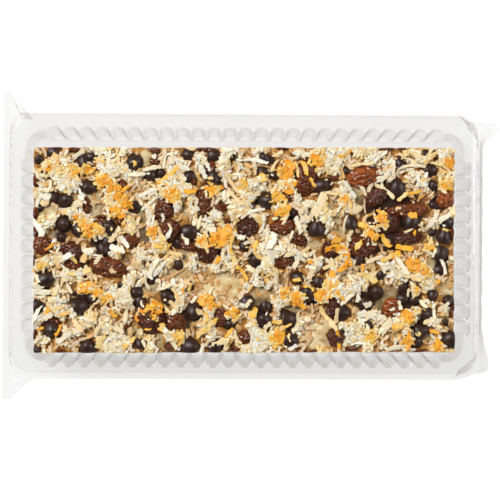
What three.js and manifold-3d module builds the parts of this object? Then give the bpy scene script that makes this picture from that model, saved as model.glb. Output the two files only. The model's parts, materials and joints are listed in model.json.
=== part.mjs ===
// A slab of coconut slice in its clear fluted tray, wrapped in clear film.
// Millimetres, +Z up, the slab's long side along X. The origin is the centre of the tray's well,
// on the surface that the pack stands on.

import * as THREE from 'three';
import { mergeVertices } from 'three/addons/utils/BufferGeometryUtils.js';
import Module from 'manifold-3d';

const wasm = await Module();
wasm.setup();

// ---- driving dimensions ---------------------------------------------------------------------

const GAP = 0.35; // round each topping in its pocket in the slab

const SLICE = {
  length: 210,
  width: 102.2,
  base: 1.5, // underside, above the table
  top: 25.5, // mean level of the baked top
  corner: 1.2, // blunt vertical edges of the knife cuts
  x: -0.35, // the slab lies a little off the tray's centre
  y: -1.65,
  turn: 0.3, // degrees, a little askew in the tray
  cell: 9.5, // spacing of the relief grid
};

const TRAY = {
  wall: 0.6,
  floor: 1.2, // top of the floor
  ledge: 5, // height where the flutes run out
  rim: 31, // top of the flange
  curl: 2, // depth of the turned-down rim
  top: { halfX: 109.7, halfY: 56.7, corner: 9 },
  foot: { halfX: 107.9, halfY: 54.7, corner: 4.4 },
  well: { halfX: 107.3, halfY: 54.1, corner: 3.2 },
  wellDraft: 0.25,
  flange: { halfX: 115.1, halfY: 64, corner: 10, x: -0.6, y: 1.3 }, // trimmed off centre
};

const FLUTE = {
  width: 6.4,
  depth: 2.1, // at the flange
  steps: 4, // of its half round
  long: { count: 25, pitch: 7.93 },
  short: { count: 11, pitch: 7.98 },
};

const FILM = {
  wall: 0.3,
  slit: 0.3, // between the two layers of an end seal
  top: TRAY.rim + 0.6, // outer face of the film, a wall and a gap of 0.3 above the flange
  crease: 19, // height where the side folds out into the end seals
  front: { top: -63.8, crease: -66.9, foot: -57 },
  back: { top: 66.4, crease: 63.4, foot: 57.4 },
  footX: 108.6, // where the underside starts to rise to the end seals
  creaseX: 107,
  bend: 1.2, // radius of the film's corners
  clear: 0.65, // outside the flange's edge
  stops: [1.3, 3.8, 7, 10.9], // from each bend
};

// An end seal: root is where the two layers meet, edge is its outer end, up is the way that the
// upper layer lies from the lower one, half is half its width.
const LEFT_SEAL = {
  root: new THREE.Vector2(-118, 20),
  edge: new THREE.Vector2(-122.7, 13.5),
  up: new THREE.Vector2(-0.6, 0.8),
  half: 77.2,
  bumps: [],
};
const RIGHT_SEAL = {
  root: new THREE.Vector2(118, 20),
  edge: new THREE.Vector2(121.6, 8),
  up: new THREE.Vector2(0.85, 0.53),
  half: 63.4,
  // corners of the folded seal that stand out: at y, by out and up, over a spread
  bumps: [
    { y: 61, out: 7.4, up: 7, spread: 5 },
    { y: -59, out: 3.4, up: 3, spread: 9 },
  ],
};

const CUTTER = { height: 60, below: 10 }; // a block that passes right through the food

// A raisin's thickness against its width, and how far its middle stands above the slab's top.
const RAISIN = { flatness: 0.36, maxHalf: 3.4, dents: 0.06, proud: 0.25 };

// A chocolate drop's height against its size, and its profile from the base to the tip: how far
// across against its radius, and how far up against its height.
const DROP = {
  height: 0.78,
  proud: 0.12,
  profile: [[0, -0.45], [0.9, -0.42], [0.82, 0.08], [0, 0.55]],
};

// Raisins as [x, y, length, width, turn in degrees], x and y from the slab's centre.
const RAISINS = [
  [30.5, 36.3, 18.6, 10, 80],
  [60.7, 36.7, 18, 10, 12],
  [-20, 26, 18.2, 6, 87],
  [-40.7, 19.7, 11.5, 8.5, 62],
  [-36.7, 10, 10.6, 9.5, 40],
  [100.2, 25.7, 8.6, 8, 90],
  [65.9, 26.7, 12.2, 9.5, 40],
  [81.6, 20, 20.5, 7.6, 6],
  [70, 13, 14.8, 10.4, 10],
  [82, 6.3, 15, 6.8, 8],
  [59.8, 3.1, 16, 10.4, 32],
  [-101.7, 2.9, 9.4, 9, 90],
  [-86.1, -0.2, 11.4, 8, 158],
  [-68.3, -8.3, 18.2, 9.4, -8],
  [-18.1, 0.5, 14.6, 10.8, 70],
  [1.3, 11.3, 10, 9, 30],
  [18.6, 12.1, 12, 7.5, 10],
  [27, 5.5, 9.4, 6, 150],
  [19.3, -6.1, 9.8, 5.2, 12],
  [43, 0, 9, 8, 60],
  [-46.9, -33.6, 16.6, 14, 110],
  [-33.6, -36.3, 10, 9, 15],
  [-12, -33.8, 9.2, 6.5, 95],
  [43.5, -28.7, 11.5, 6, 82],
  [45.6, -44, 9.4, 8.6, 80],
  [72.9, -28.7, 10, 9, 60],
];

// Drops as [x, y, size, lean, turn in degrees]: lean is how far the tip leans over.
const CHIPS = [
  [-89, 25.1, 7.8, 25, 40],
  [-78.3, 31.2, 7.8, 40, 200],
  [-89.9, 12.6, 8.4, 15, 320],
  [-80.1, 44.3, 8, 65, 100],
  [-55.5, 43.7, 8.6, 25, 200],
  [-67.9, 11.5, 9.2, 20, 80],
  [-26.6, 9.2, 8.8, 60, 20],
  [-15.8, 36.8, 7.6, 75, 95],
  [39.2, 32.5, 8.2, 40, 20],
  [10, 24.6, 8.4, 80, 180],
  [35.8, 11.5, 9, 60, 92],
  [52.8, 14.4, 7.8, 65, 100],
  [100.2, 7.6, 8, 60, 80],
  [97.7, -2.5, 8.4, 50, 260],
  [-81.6, -27.2, 9.6, 85, 28],
  [-95.6, -39.5, 10, 20, 340],
  [-78, -47.3, 8.2, 35, 90],
  [-25.4, -31, 9, 30, 250],
  [-26.2, -47.2, 9, 40, 30],
  [-98.2, -14.4, 9.6, 60, 20],
  [-38.8, -23.3, 8.2, 35, 150],
  [9.5, -34.7, 8.2, 30, 120],
  [22.4, -34.2, 9, 80, 5],
  [31.6, -21.1, 8.6, 45, 70],
  [23.7, -45.5, 8.8, 75, 350],
  [59.5, -26, 8, 25, 130],
  [66.2, -20.6, 8, 30, 60],
  [89, -40.1, 7.8, 70, 20],
  [90.9, -31.6, 7.6, 85, 0],
  [102.2, -43.9, 9, 40, 90],
  [1.6, -26.9, 7.6, 50, 300],
];

// ---- small helpers --------------------------------------------------------------------------

const rad = THREE.MathUtils.degToRad;
const lerp = THREE.MathUtils.lerp;

function solidFrom(geometry) {
  let g = geometry.index ? geometry.toNonIndexed() : geometry;
  g = new THREE.BufferGeometry().setAttribute('position', g.getAttribute('position'));
  g = mergeVertices(g, 1e-3);
  const mesh = new wasm.Mesh({
    numProp: 3,
    vertProperties: new Float32Array(g.getAttribute('position').array),
    triVerts: new Uint32Array(g.index.array),
  });
  return new wasm.Manifold(mesh);
}

function geometryFrom(solid) {
  const mesh = solid.getMesh();
  const g = new THREE.BufferGeometry();
  g.setAttribute('position', new THREE.BufferAttribute(mesh.vertProperties, 3));
  g.setIndex(new THREE.BufferAttribute(mesh.triVerts, 1));
  g.computeVertexNormals();
  return g;
}

// Collects triangles between rings of [x, y, z] points that run anticlockwise seen from above.
class Skin {
  constructor() {
    this.points = [];
  }

  // Three corners, left out where two of them fall together.
  triangle(a, b, c) {
    if (!same(a, b) && !same(b, c) && !same(c, a)) {
      this.points.push(...a, ...b, ...c);
    }
  }

  // A wall between two rings of the same count; it faces out of the ring, or in when asked.
  wall(lower, upper, inward = false) {
    lower.forEach((a, i) => {
      const j = (i + 1) % lower.length;
      const [b, c, d] = [lower[j], upper[j], upper[i]];
      this.triangle(...(inward ? [a, c, b] : [a, b, c]));
      this.triangle(...(inward ? [a, d, c] : [a, c, d]));
    });
  }

  // A flat face inside a ring, less a hole, facing up or down.
  face(around, inside, up) {
    const distinct = (points) => points.filter((p, i) => !same(p, points.at(i - 1)));
    const ring = distinct(around);
    const hole = inside ? distinct(inside) : null;
    const flat = (points) => points.map(([x, y]) => new THREE.Vector2(x, y));
    const all = hole ? [...ring, ...hole] : ring;
    const faces = THREE.ShapeUtils.triangulateShape(flat(ring), hole ? [flat(hole)] : []);
    for (const [i, j, k] of faces) {
      const [a, b, c] = [all[i], all[j], all[k]];
      const turn = (b[0] - a[0]) * (c[1] - a[1]) - (b[1] - a[1]) * (c[0] - a[0]);
      this.triangle(...(turn > 0 === up ? [a, b, c] : [a, c, b]));
    }
  }

  geometry() {
    const g = new THREE.BufferGeometry();
    g.setAttribute('position', new THREE.Float32BufferAttribute(this.points, 3));
    const merged = mergeVertices(g, 1e-3);
    merged.computeVertexNormals();
    return merged;
  }
}

// ---- outlines -------------------------------------------------------------------------------

// The four sides of a rounded rectangle, anticlockwise from the front one: each has its way
// along, its way out, its half length and its distance from the centre.
function sidesOf({ halfX, halfY }) {
  return [
    { along: [1, 0], out: [0, -1], half: halfX, far: halfY, flutes: FLUTE.long },
    { along: [0, 1], out: [1, 0], half: halfY, far: halfX, flutes: FLUTE.short },
    { along: [-1, 0], out: [0, 1], half: halfX, far: halfY, flutes: FLUTE.long },
    { along: [0, -1], out: [-1, 0], half: halfY, far: halfX, flutes: FLUTE.short },
  ];
}

function onSide(side, u, v) {
  return [side.along[0] * u + side.out[0] * v, side.along[1] * u + side.out[1] * v];
}

// A rounded rectangle as a ring of [x, y], each corner an arc of the given number of steps.
// With a flute depth, each side carries its row of half-round flutes that bulge outwards; at a
// depth of 0 a flute's points fall together at its two edges, so that the flute dies out there.
function outline(size, steps, depth = null) {
  const ring = [];
  for (const side of sidesOf(size)) {
    const straight = side.half - size.corner;
    const { count, pitch } = side.flutes;
    for (let i = 0; depth !== null && i < count; i += 1) {
      const centre = (i - (count - 1) / 2) * pitch;
      for (let k = 0; k <= FLUTE.steps; k += 1) {
        const angle = Math.PI * (1 - k / FLUTE.steps);
        const across = depth > 0 ? Math.cos(angle) : Math.sign(2 * k - FLUTE.steps - 0.5);
        const u = centre + (FLUTE.width / 2) * across;
        ring.push(onSide(side, u, side.far + depth * Math.sin(angle)));
      }
    }
    for (let k = 0; k <= steps; k += 1) {
      const angle = (Math.PI / 2) * (k / steps);
      const u = straight + size.corner * Math.sin(angle);
      ring.push(onSide(side, u, side.far - size.corner * (1 - Math.cos(angle))));
    }
  }
  return ring;
}

// The same ring moved outwards by a distance, mitred at its corners.
function offset(ring, distance) {
  return ring.map((p, i) => {
    const before = ring[(i + ring.length - 1) % ring.length];
    const after = ring[(i + 1) % ring.length];
    const a = new THREE.Vector2(p[1] - before[1], before[0] - p[0]).normalize();
    const b = new THREE.Vector2(after[1] - p[1], p[0] - after[0]).normalize();
    const mid = a.clone().add(b).normalize();
    mid.multiplyScalar(distance / mid.dot(b));
    return [p[0] + mid.x, p[1] + mid.y];
  });
}

const grown = (size, d) => ({
  halfX: size.halfX + d,
  halfY: size.halfY + d,
  corner: size.corner + d,
});
const at = (ring, z) => ring.map(([x, y]) => [x, y, z]);
const same = (a, b) => a.every((value, axis) => Math.abs(value - b[axis]) < 1e-6);

// ---- tray -----------------------------------------------------------------------------------

// The vacuum-formed tray: a flat flange with a turned-down rim, walls that draft inwards, with
// flutes that die out at a narrow ledge, and a plain well below it.
function trayGeometry() {
  const { wall, rim, ledge, floor, curl, flange } = TRAY;
  const move = ([x, y]) => [x + flange.x, y + flange.y];
  const edge = outline(flange, 6).map(move);
  const edgeIn = outline(grown(flange, -wall), 6).map(move);
  const top = outline(TRAY.top, 4, FLUTE.depth);
  const foot = outline(TRAY.foot, 4, 0);
  const well = outline(TRAY.well, 3);
  const bed = outline(grown(TRAY.well, -TRAY.wellDraft), 3);

  const skin = new Skin();
  skin.face(at(edge, rim), at(top, rim), true);
  skin.wall(at(foot, ledge), at(top, rim), true);
  skin.face(at(foot, ledge), at(well, ledge), true);
  skin.wall(at(bed, floor), at(well, ledge), true);
  skin.face(at(bed, floor), null, true);

  const topOut = offset(top, wall);
  const footOut = outline(grown(TRAY.foot, wall), 4, 0);
  const wellOut = offset(well, wall);
  const bedOut = offset(bed, wall);
  skin.face(at(bedOut, floor - wall), null, false);
  skin.wall(at(bedOut, floor - wall), at(wellOut, ledge - wall));
  skin.face(at(footOut, ledge - wall), at(wellOut, ledge - wall), false);
  skin.wall(at(footOut, ledge - wall), at(topOut, rim - wall));
  skin.face(at(edgeIn, rim - wall), at(topOut, rim - wall), false);
  skin.wall(at(edgeIn, rim - curl), at(edgeIn, rim - wall), true);
  skin.face(at(edge, rim - curl), at(edgeIn, rim - curl), false);
  skin.wall(at(edge, rim - curl), at(edge, rim));
  return skin.geometry();
}

// ---- film -----------------------------------------------------------------------------------

// Half of the film's cross-section as [y, z] from the front crease to the back one, over the top
// or under the base, moved inwards by inset. Its two bends are short arcs; the stretch between
// them is divided so that it can follow the shape of the ends.
function halfSection(over, inset) {
  const level = over ? FILM.top - inset : inset;
  const key = over ? 'top' : 'foot';
  const front = new THREE.Vector2(FILM.front[key] + inset, level);
  const back = new THREE.Vector2(FILM.back[key] - inset, level);
  const start = new THREE.Vector2(FILM.front.crease + inset, FILM.crease);
  const end = new THREE.Vector2(FILM.back.crease - inset, FILM.crease);
  const bend = (corner, from, to) => {
    const a = from.clone().sub(corner).setLength(FILM.bend).add(corner);
    const b = to.clone().sub(corner).setLength(FILM.bend).add(corner);
    return new THREE.QuadraticBezierCurve(a, corner, b).getPoints(2);
  };
  const first = bend(front, start, back);
  const last = bend(back, front, end);
  const span = first[2].distanceTo(last[0]);
  const stops = FILM.stops.map((stop) => stop / span);
  const places = [...stops, 0.3, 0.5, 0.7, ...stops.map((place) => 1 - place).reverse()];
  const middle = places.map((place) => first[2].clone().lerp(last[0], place));
  return [start, ...first, ...middle, ...last, end];
}

// A whole cross-section: points with their place across the seal, from -1 in front to 1 at the
// back, measured along the film, which doesn't stretch, and their side, 1 above and -1 below.
function section(inset) {
  const half = (over) => {
    const points = halfSection(over, inset);
    const run = [0];
    for (let i = 1; i < points.length; i += 1) {
      run.push(run[i - 1] + points[i].distanceTo(points[i - 1]));
    }
    const total = run[run.length - 1];
    return points.map((p, i) => ({
      y: p.x,
      z: p.y,
      across: (2 * run[i]) / total - 1,
      side: over ? 1 : -1,
    }));
  };
  const above = half(true);
  const below = half(false).reverse();
  above[0].side = 0;
  above[above.length - 1].side = 0;
  return [...above, ...below.slice(1, -1)];
}

// How far along X the straight part of the film reaches at a point of the section: over the top
// it follows the flange's rounded corner, and underneath it stops short of the tray's foot.
function reach(point, end, inset) {
  if (point.side === 0) {
    return end * (FILM.creaseX - inset);
  }
  if (point.side < 0) {
    return end * (FILM.footX - inset);
  }
  const { flange } = TRAY;
  const corner = flange.corner + FILM.clear;
  const beyond = Math.abs(point.y - flange.y) - (flange.halfY - flange.corner);
  const arc = Math.sqrt(corner ** 2 - Math.min(Math.max(beyond, 0), corner) ** 2);
  return end * (flange.halfX - flange.corner + arc - inset) + flange.x;
}

// One point of an end seal, at its root or its outer edge.
function sealPoint(seal, point, atEdge, inset) {
  const place = atEdge ? seal.edge : seal.root;
  const lift = point.side * (FILM.slit / 2 + FILM.wall - inset);
  const y = point.across * (seal.half - inset);
  let x = place.x + seal.up.x * lift;
  let z = place.y + seal.up.y * lift;
  if (atEdge) {
    for (const bump of seal.bumps) {
      const strength = Math.exp(-(((y - bump.y) / bump.spread) ** 2));
      x += bump.out * strength * Math.sign(place.x);
      z += bump.up * strength;
    }
  }
  return [x, y, z];
}

// The rings of one face of the film, from the left seal's edge to the right seal's edge.
function filmRings(inset) {
  const points = section(inset);
  const ringsOf = (seal, end) => {
    const edge = points.map((p) => sealPoint(seal, p, true, inset));
    const root = points.map((p) => sealPoint(seal, p, false, inset));
    const start = points.map((p) => [reach(p, end, inset), p.y, p.z]);
    const between = root.map((r, i) => r.map((value, axis) => lerp(value, start[i][axis], 0.5)));
    return [edge, root, between, start];
  };
  return [...ringsOf(LEFT_SEAL, -1), ...ringsOf(RIGHT_SEAL, 1).reverse()];
}

// The film is one thin tube; the slit between the two layers of each end seal is its opening.
function filmGeometry() {
  const outer = filmRings(0);
  const inner = filmRings(FILM.wall);
  const skin = new Skin();
  for (let k = 1; k < outer.length; k += 1) {
    skin.wall(outer[k - 1], outer[k], true);
    skin.wall(inner[k - 1], inner[k]);
  }
  skin.wall(outer[0], inner[0]);
  skin.wall(outer.at(-1), inner.at(-1), true);
  return skin.geometry();
}

// ---- slab and toppings ----------------------------------------------------------------------

// Height of the baked top: broad swells with smaller lumps on them.
function topAt(x, y) {
  const swell = Math.sin(x / 9.1 + 1.3 * Math.sin(y / 15)) * Math.cos(y / 8.3 + Math.sin(x / 19));
  const lumps = Math.sin(x / 4.3 + 2) * Math.sin(y / 4.1 + x / 13);
  return SLICE.top + 0.55 * swell + 0.3 * lumps;
}

// The slab before its toppings: a grid of the top's relief with straight sides and a flat base,
// cut to a rectangle with slightly blunt corners.
function slabSolid() {
  const { length, width, base, cell } = SLICE;
  const nx = Math.round(length / cell);
  const ny = Math.round(width / cell);
  const rows = [];
  for (let j = 0; j <= ny; j += 1) {
    const y = width * (j / ny - 0.5);
    rows.push(
      Array.from({ length: nx + 1 }, (_, i) => {
        const x = length * (i / nx - 0.5);
        return [x, y, topAt(x, y)];
      }),
    );
  }
  const skin = new Skin();
  for (let j = 0; j < ny; j += 1) {
    for (let i = 0; i < nx; i += 1) {
      const [a, b, c, d] = [rows[j][i], rows[j][i + 1], rows[j + 1][i + 1], rows[j + 1][i]];
      skin.triangle(a, b, c);
      skin.triangle(a, c, d);
    }
  }
  const first = rows[0];
  const last = rows[ny].slice().reverse();
  const right = rows.map((row) => row[nx]);
  const left = rows.map((row) => row[0]).reverse();
  const foot = ([x, y]) => [x, y, base];
  for (const side of [first, right, last, left]) {
    const [from, to] = [foot(side[0]), foot(side[side.length - 1])];
    for (let i = 0; i + 1 < side.length; i += 1) {
      skin.triangle(from, side[i + 1], side[i]);
    }
    skin.triangle(from, to, side[side.length - 1]);
  }
  skin.face([first, right, last, left].map((side) => foot(side[0])), null, false);
  return solidFrom(skin.geometry()).intersect(slabPrism());
}

// The slab's footprint carried straight up.
function slabPrism() {
  const { length, width, corner } = SLICE;
  const size = { halfX: length / 2, halfY: width / 2, corner };
  const shape = new THREE.Shape(outline(size, 3).map(([x, y]) => new THREE.Vector2(x, y)));
  const prism = new THREE.ExtrudeGeometry(shape, { depth: CUTTER.height, bevelEnabled: false });
  return solidFrom(prism.translate(0, 0, -CUTTER.below));
}

// A raisin: a squashed ball with three soft dents round it, larger all round by extra.
function raisinGeometry([x, y, length, width, turn], extra) {
  const g = new THREE.SphereGeometry(1, 8, 4);
  g.rotateX(Math.PI / 2);
  const { flatness, maxHalf, dents, proud } = RAISIN;
  const half = new THREE.Vector3(length / 2, width / 2, Math.min(width * flatness, maxHalf));
  const p = g.getAttribute('position');
  for (let i = 0; i < p.count; i += 1) {
    const v = new THREE.Vector3().fromBufferAttribute(p, i);
    const dent = 1 + dents * Math.sin(3 * Math.atan2(v.y, v.x) + x) * (1 - v.z ** 2);
    v.set(v.x * (half.x * dent + extra), v.y * (half.y * dent + extra), v.z * (half.z + extra));
    p.setXYZ(i, v.x, v.y, v.z);
  }
  g.rotateZ(rad(turn));
  return g.translate(x, y, topAt(x, y) + half.z * proud);
}

// A chocolate drop: a flat base, a rounded shoulder and a blunt tip.
function chipGeometry([x, y, size, lean, turn], extra) {
  const height = size * DROP.height;
  const profile = DROP.profile.map(([across, up]) => {
    const radius = across > 0 ? (across * size) / 2 + extra : 0;
    return new THREE.Vector2(radius, up * height + Math.sign(up) * extra);
  });
  const g = new THREE.LatheGeometry(profile, 8);
  g.rotateX(Math.PI / 2);
  g.rotateY(rad(lean));
  g.rotateZ(rad(turn));
  return g.translate(x, y, topAt(x, y) + DROP.proud * height);
}

// Each topping is cut off at the slab's knife-cut sides, and the slab gets a pocket round it.
function toppings() {
  const footprint = slabPrism();
  const make = (prefix, list, geometry) =>
    list.map((row, i) => ({
      name: `${prefix}_${String(i + 1).padStart(2, '0')}`,
      solid: solidFrom(geometry(row, 0)).intersect(footprint),
      pocket: solidFrom(geometry(row, GAP)),
    }));
  return [...make('raisin', RAISINS, raisinGeometry), ...make('chip', CHIPS, chipGeometry)];
}

// ---- materials and assembly -----------------------------------------------------------------

const clear = { roughness: 0.12, metalness: 0, transparent: true };
const materials = {
  film: new THREE.MeshStandardMaterial({ color: '#f4f4f2', opacity: 0.12, ...clear }),
  tray: new THREE.MeshStandardMaterial({ color: '#ecebe8', opacity: 0.3, ...clear }),
  slice: new THREE.MeshStandardMaterial({ color: '#ecdcb4', roughness: 0.75, metalness: 0 }),
  raisin: new THREE.MeshStandardMaterial({ color: '#5a2b16', roughness: 0.4, metalness: 0 }),
  chip: new THREE.MeshStandardMaterial({ color: '#3c2a22', roughness: 0.45, metalness: 0 }),
};

function named(name, geometry, material) {
  const mesh = new THREE.Mesh(geometry, material);
  mesh.name = name;
  return mesh;
}

const pack = new THREE.Group();
pack.add(named('film', filmGeometry(), materials.film));
pack.add(named('tray', trayGeometry(), materials.tray));

const food = new THREE.Group();
food.position.set(SLICE.x, SLICE.y, 0);
food.rotation.z = rad(SLICE.turn);
pack.add(food);

let slab = slabSolid();
for (const { name, solid, pocket } of toppings()) {
  slab = slab.subtract(pocket);
  food.add(named(name, geometryFrom(solid), materials[name.split('_')[0]]));
}
food.add(named('slice', geometryFrom(slab), materials.slice));

export default pack;
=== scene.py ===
import json
import math

import bpy
import numpy as np
from mathutils import Matrix, Vector

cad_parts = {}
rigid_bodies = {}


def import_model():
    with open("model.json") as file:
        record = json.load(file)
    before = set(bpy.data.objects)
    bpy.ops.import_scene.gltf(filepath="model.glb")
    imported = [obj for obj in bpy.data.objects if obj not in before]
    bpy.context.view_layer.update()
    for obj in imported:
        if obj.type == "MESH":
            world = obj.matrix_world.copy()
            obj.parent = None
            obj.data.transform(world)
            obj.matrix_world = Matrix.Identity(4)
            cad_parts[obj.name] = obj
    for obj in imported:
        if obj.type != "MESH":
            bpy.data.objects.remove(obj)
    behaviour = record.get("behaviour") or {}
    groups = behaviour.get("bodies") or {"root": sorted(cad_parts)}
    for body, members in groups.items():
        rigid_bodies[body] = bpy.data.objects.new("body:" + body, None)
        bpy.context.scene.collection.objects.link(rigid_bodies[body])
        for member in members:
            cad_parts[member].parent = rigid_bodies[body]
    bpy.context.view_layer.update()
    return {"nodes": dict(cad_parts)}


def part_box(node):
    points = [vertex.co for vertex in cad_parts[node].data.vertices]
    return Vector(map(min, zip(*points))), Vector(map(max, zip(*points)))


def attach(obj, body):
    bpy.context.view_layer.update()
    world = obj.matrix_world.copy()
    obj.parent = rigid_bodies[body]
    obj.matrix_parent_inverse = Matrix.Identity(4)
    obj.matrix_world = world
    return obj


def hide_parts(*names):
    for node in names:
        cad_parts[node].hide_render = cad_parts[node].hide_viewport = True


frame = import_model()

bl_info = {
    "name": "Coconut slice in a tray",
    "version": (1, 0, 0),
    "blender": (4, 5, 0),
    "location": "3D View > Sidebar > Slice",
    "description": "A baked coconut slab with chocolate drops and raisins in a clear sealed tray",
    "category": "Add Mesh",
}

# Lengths below are millimetres in the slab's own frame, whose origin is the slab's centre seen
# from above, unless a name says otherwise. Row means the frame that the whole pack is built in.

MM = 0.001
BODY = "root"

SLAB_LOW, SLAB_HIGH = (np.array(corner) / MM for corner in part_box("slice"))

SLAB_TURN = math.radians(0.3)  # the slab lies a little askew in its tray
SLAB_CENTRE = (SLAB_LOW + SLAB_HIGH) / 2
SLAB_HALF = np.array([105.0, 51.1])
SLAB_TOP = 25.5  # mean level of the baked top
SLAB_BASE = SLAB_LOW[2]
SLAB_CORNER = 1.2  # radius of its upright corners

# The way along each side of a rectangle, from the front anticlockwise.
SIDES = np.array([(1, 0), (0, 1), (-1, 0), (0, -1)])

# ---- measured places --------------------------------------------------------------------------

# Smooth pools of set glaze between the coconut, as x, y, half length, half width, turn in degrees
# and how far chocolate has darkened them, from 0 to 1.
POOLS = (
    (-12, -19.5, 13, 9, 10, 0.05), (-6, -12, 6, 2.5, -10, 0.4), (-33, -11.5, 8.5, 5.5, 0, 0.25),
    (37, -42, 9, 8, 0, 0.05), (101, -18.5, 4.5, 4.5, 0, 0), (94, -8.5, 3.5, 5, 0, 0.35),
    (73, -21.5, 4, 5, 0, 0.6), (68, -28, 2.5, 4.5, 0, 0.7), (-74, 21.5, 5.5, 6.5, 0, 0.4),
    (-76, 27.5, 5, 2.5, 0, 0.25), (-84.5, 27, 3.5, 4, 0, 0.1), (-95, 8.5, 3, 3, 0, 0.6),
    (-98, 19.5, 5, 3.5, 0, 0.05), (-53, 26, 2.5, 5, 0, 0.4), (-52, 17, 3.5, 8, 0, 0.6),
    (-50, 7, 4, 5, 0, 0.8), (-49.5, 46, 3.5, 4, 0, 0.1), (-29.5, 20.5, 2.5, 3.5, 0, 0.4),
    (-30, -2.5, 4.5, 3, 0, 0.6), (-12, 20, 4, 1.5, -30, 0.7), (-42, -46, 4, 4.5, 0, 0.4),
    (-26, -38, 4.5, 3.5, 0, 0.85), (-48, -19, 6, 3, 0, 0.45), (-58, -4, 4, 3, 0, 0.75),
    (-74, -28, 5, 2.5, 0, 0.4), (-85.5, -21.8, 2.5, 2, 0, 0.6), (-57, -41, 4.5, 3.5, 0, 0.3),
    (-86, -36, 3, 4, 0, 0.3), (10, -21.5, 7, 4, 0, 0.35), (8, -25.5, 5, 2, 0, 0.8),
    (25, -29, 5, 3, 0, 0.5), (35, -31.5, 5, 2, 0, 0.3), (50, -13.5, 3, 4.5, 0, 0.3),
    (19, -17, 3, 2.5, 0, 0.5), (45, 22.5, 4.5, 3, 0, 0.25), (46, 16, 3, 3.5, 0, 0.35),
    (47, 9, 5, 3, 0, 0.3), (5.5, 21, 3, 3.5, 0, 0.35), (18, 7.5, 3, 2, 0, 0.4),
    (33, 2.5, 6, 2.5, 0, 0.3), (57, 27, 4, 6, 0, 0.3), (95, 8, 4.5, 3, 0, 0.75),
    (56, -11, 2.5, 3, 0, 0.4), (75, -42.5, 4, 2.5, 0, 0.3), (100, -33.5, 4, 2, 0, 0.6),
    (92, -44, 4, 2, 0, 0.3),
)

# Gaps between crowded drops and raisins that stay bare of coconut and get painted shade, as x, y, half
# length, half width.
SHADED_BARE_GAPS = (
    (74, 21, 19, 14), (69, 5, 16, 9), (82, -23, 7, 10), (-91.5, 7, 4, 3), (-70, 3, 9, 3),
    (-99, 38, 2.5, 4), (-16, 40, 3.5, 7), (-35, 3, 5, 3), (-17, 0, 6, 5), (41, 33, 4, 4),
    (13, 44, 3, 4), (10, 24, 7, 3), (30, 38, 6, 7), (24, 17, 5, 3), (33, -24, 6, 5), (8, -31, 6, 4),
    (22, -33, 6, 3), (-27, -32, 6, 5), (-36, -36, 6, 4), (-79, -24, 6, 3), (-81, -7, 4, 3),
    (60, -25, 8, 5), (87, -40, 5, 6), (58, 1, 8, 6), (-101, 2, 5, 5), (98, 24, 6, 5),
    (99, -6, 4, 7), (-47, 37, 5, 3),
)

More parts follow.
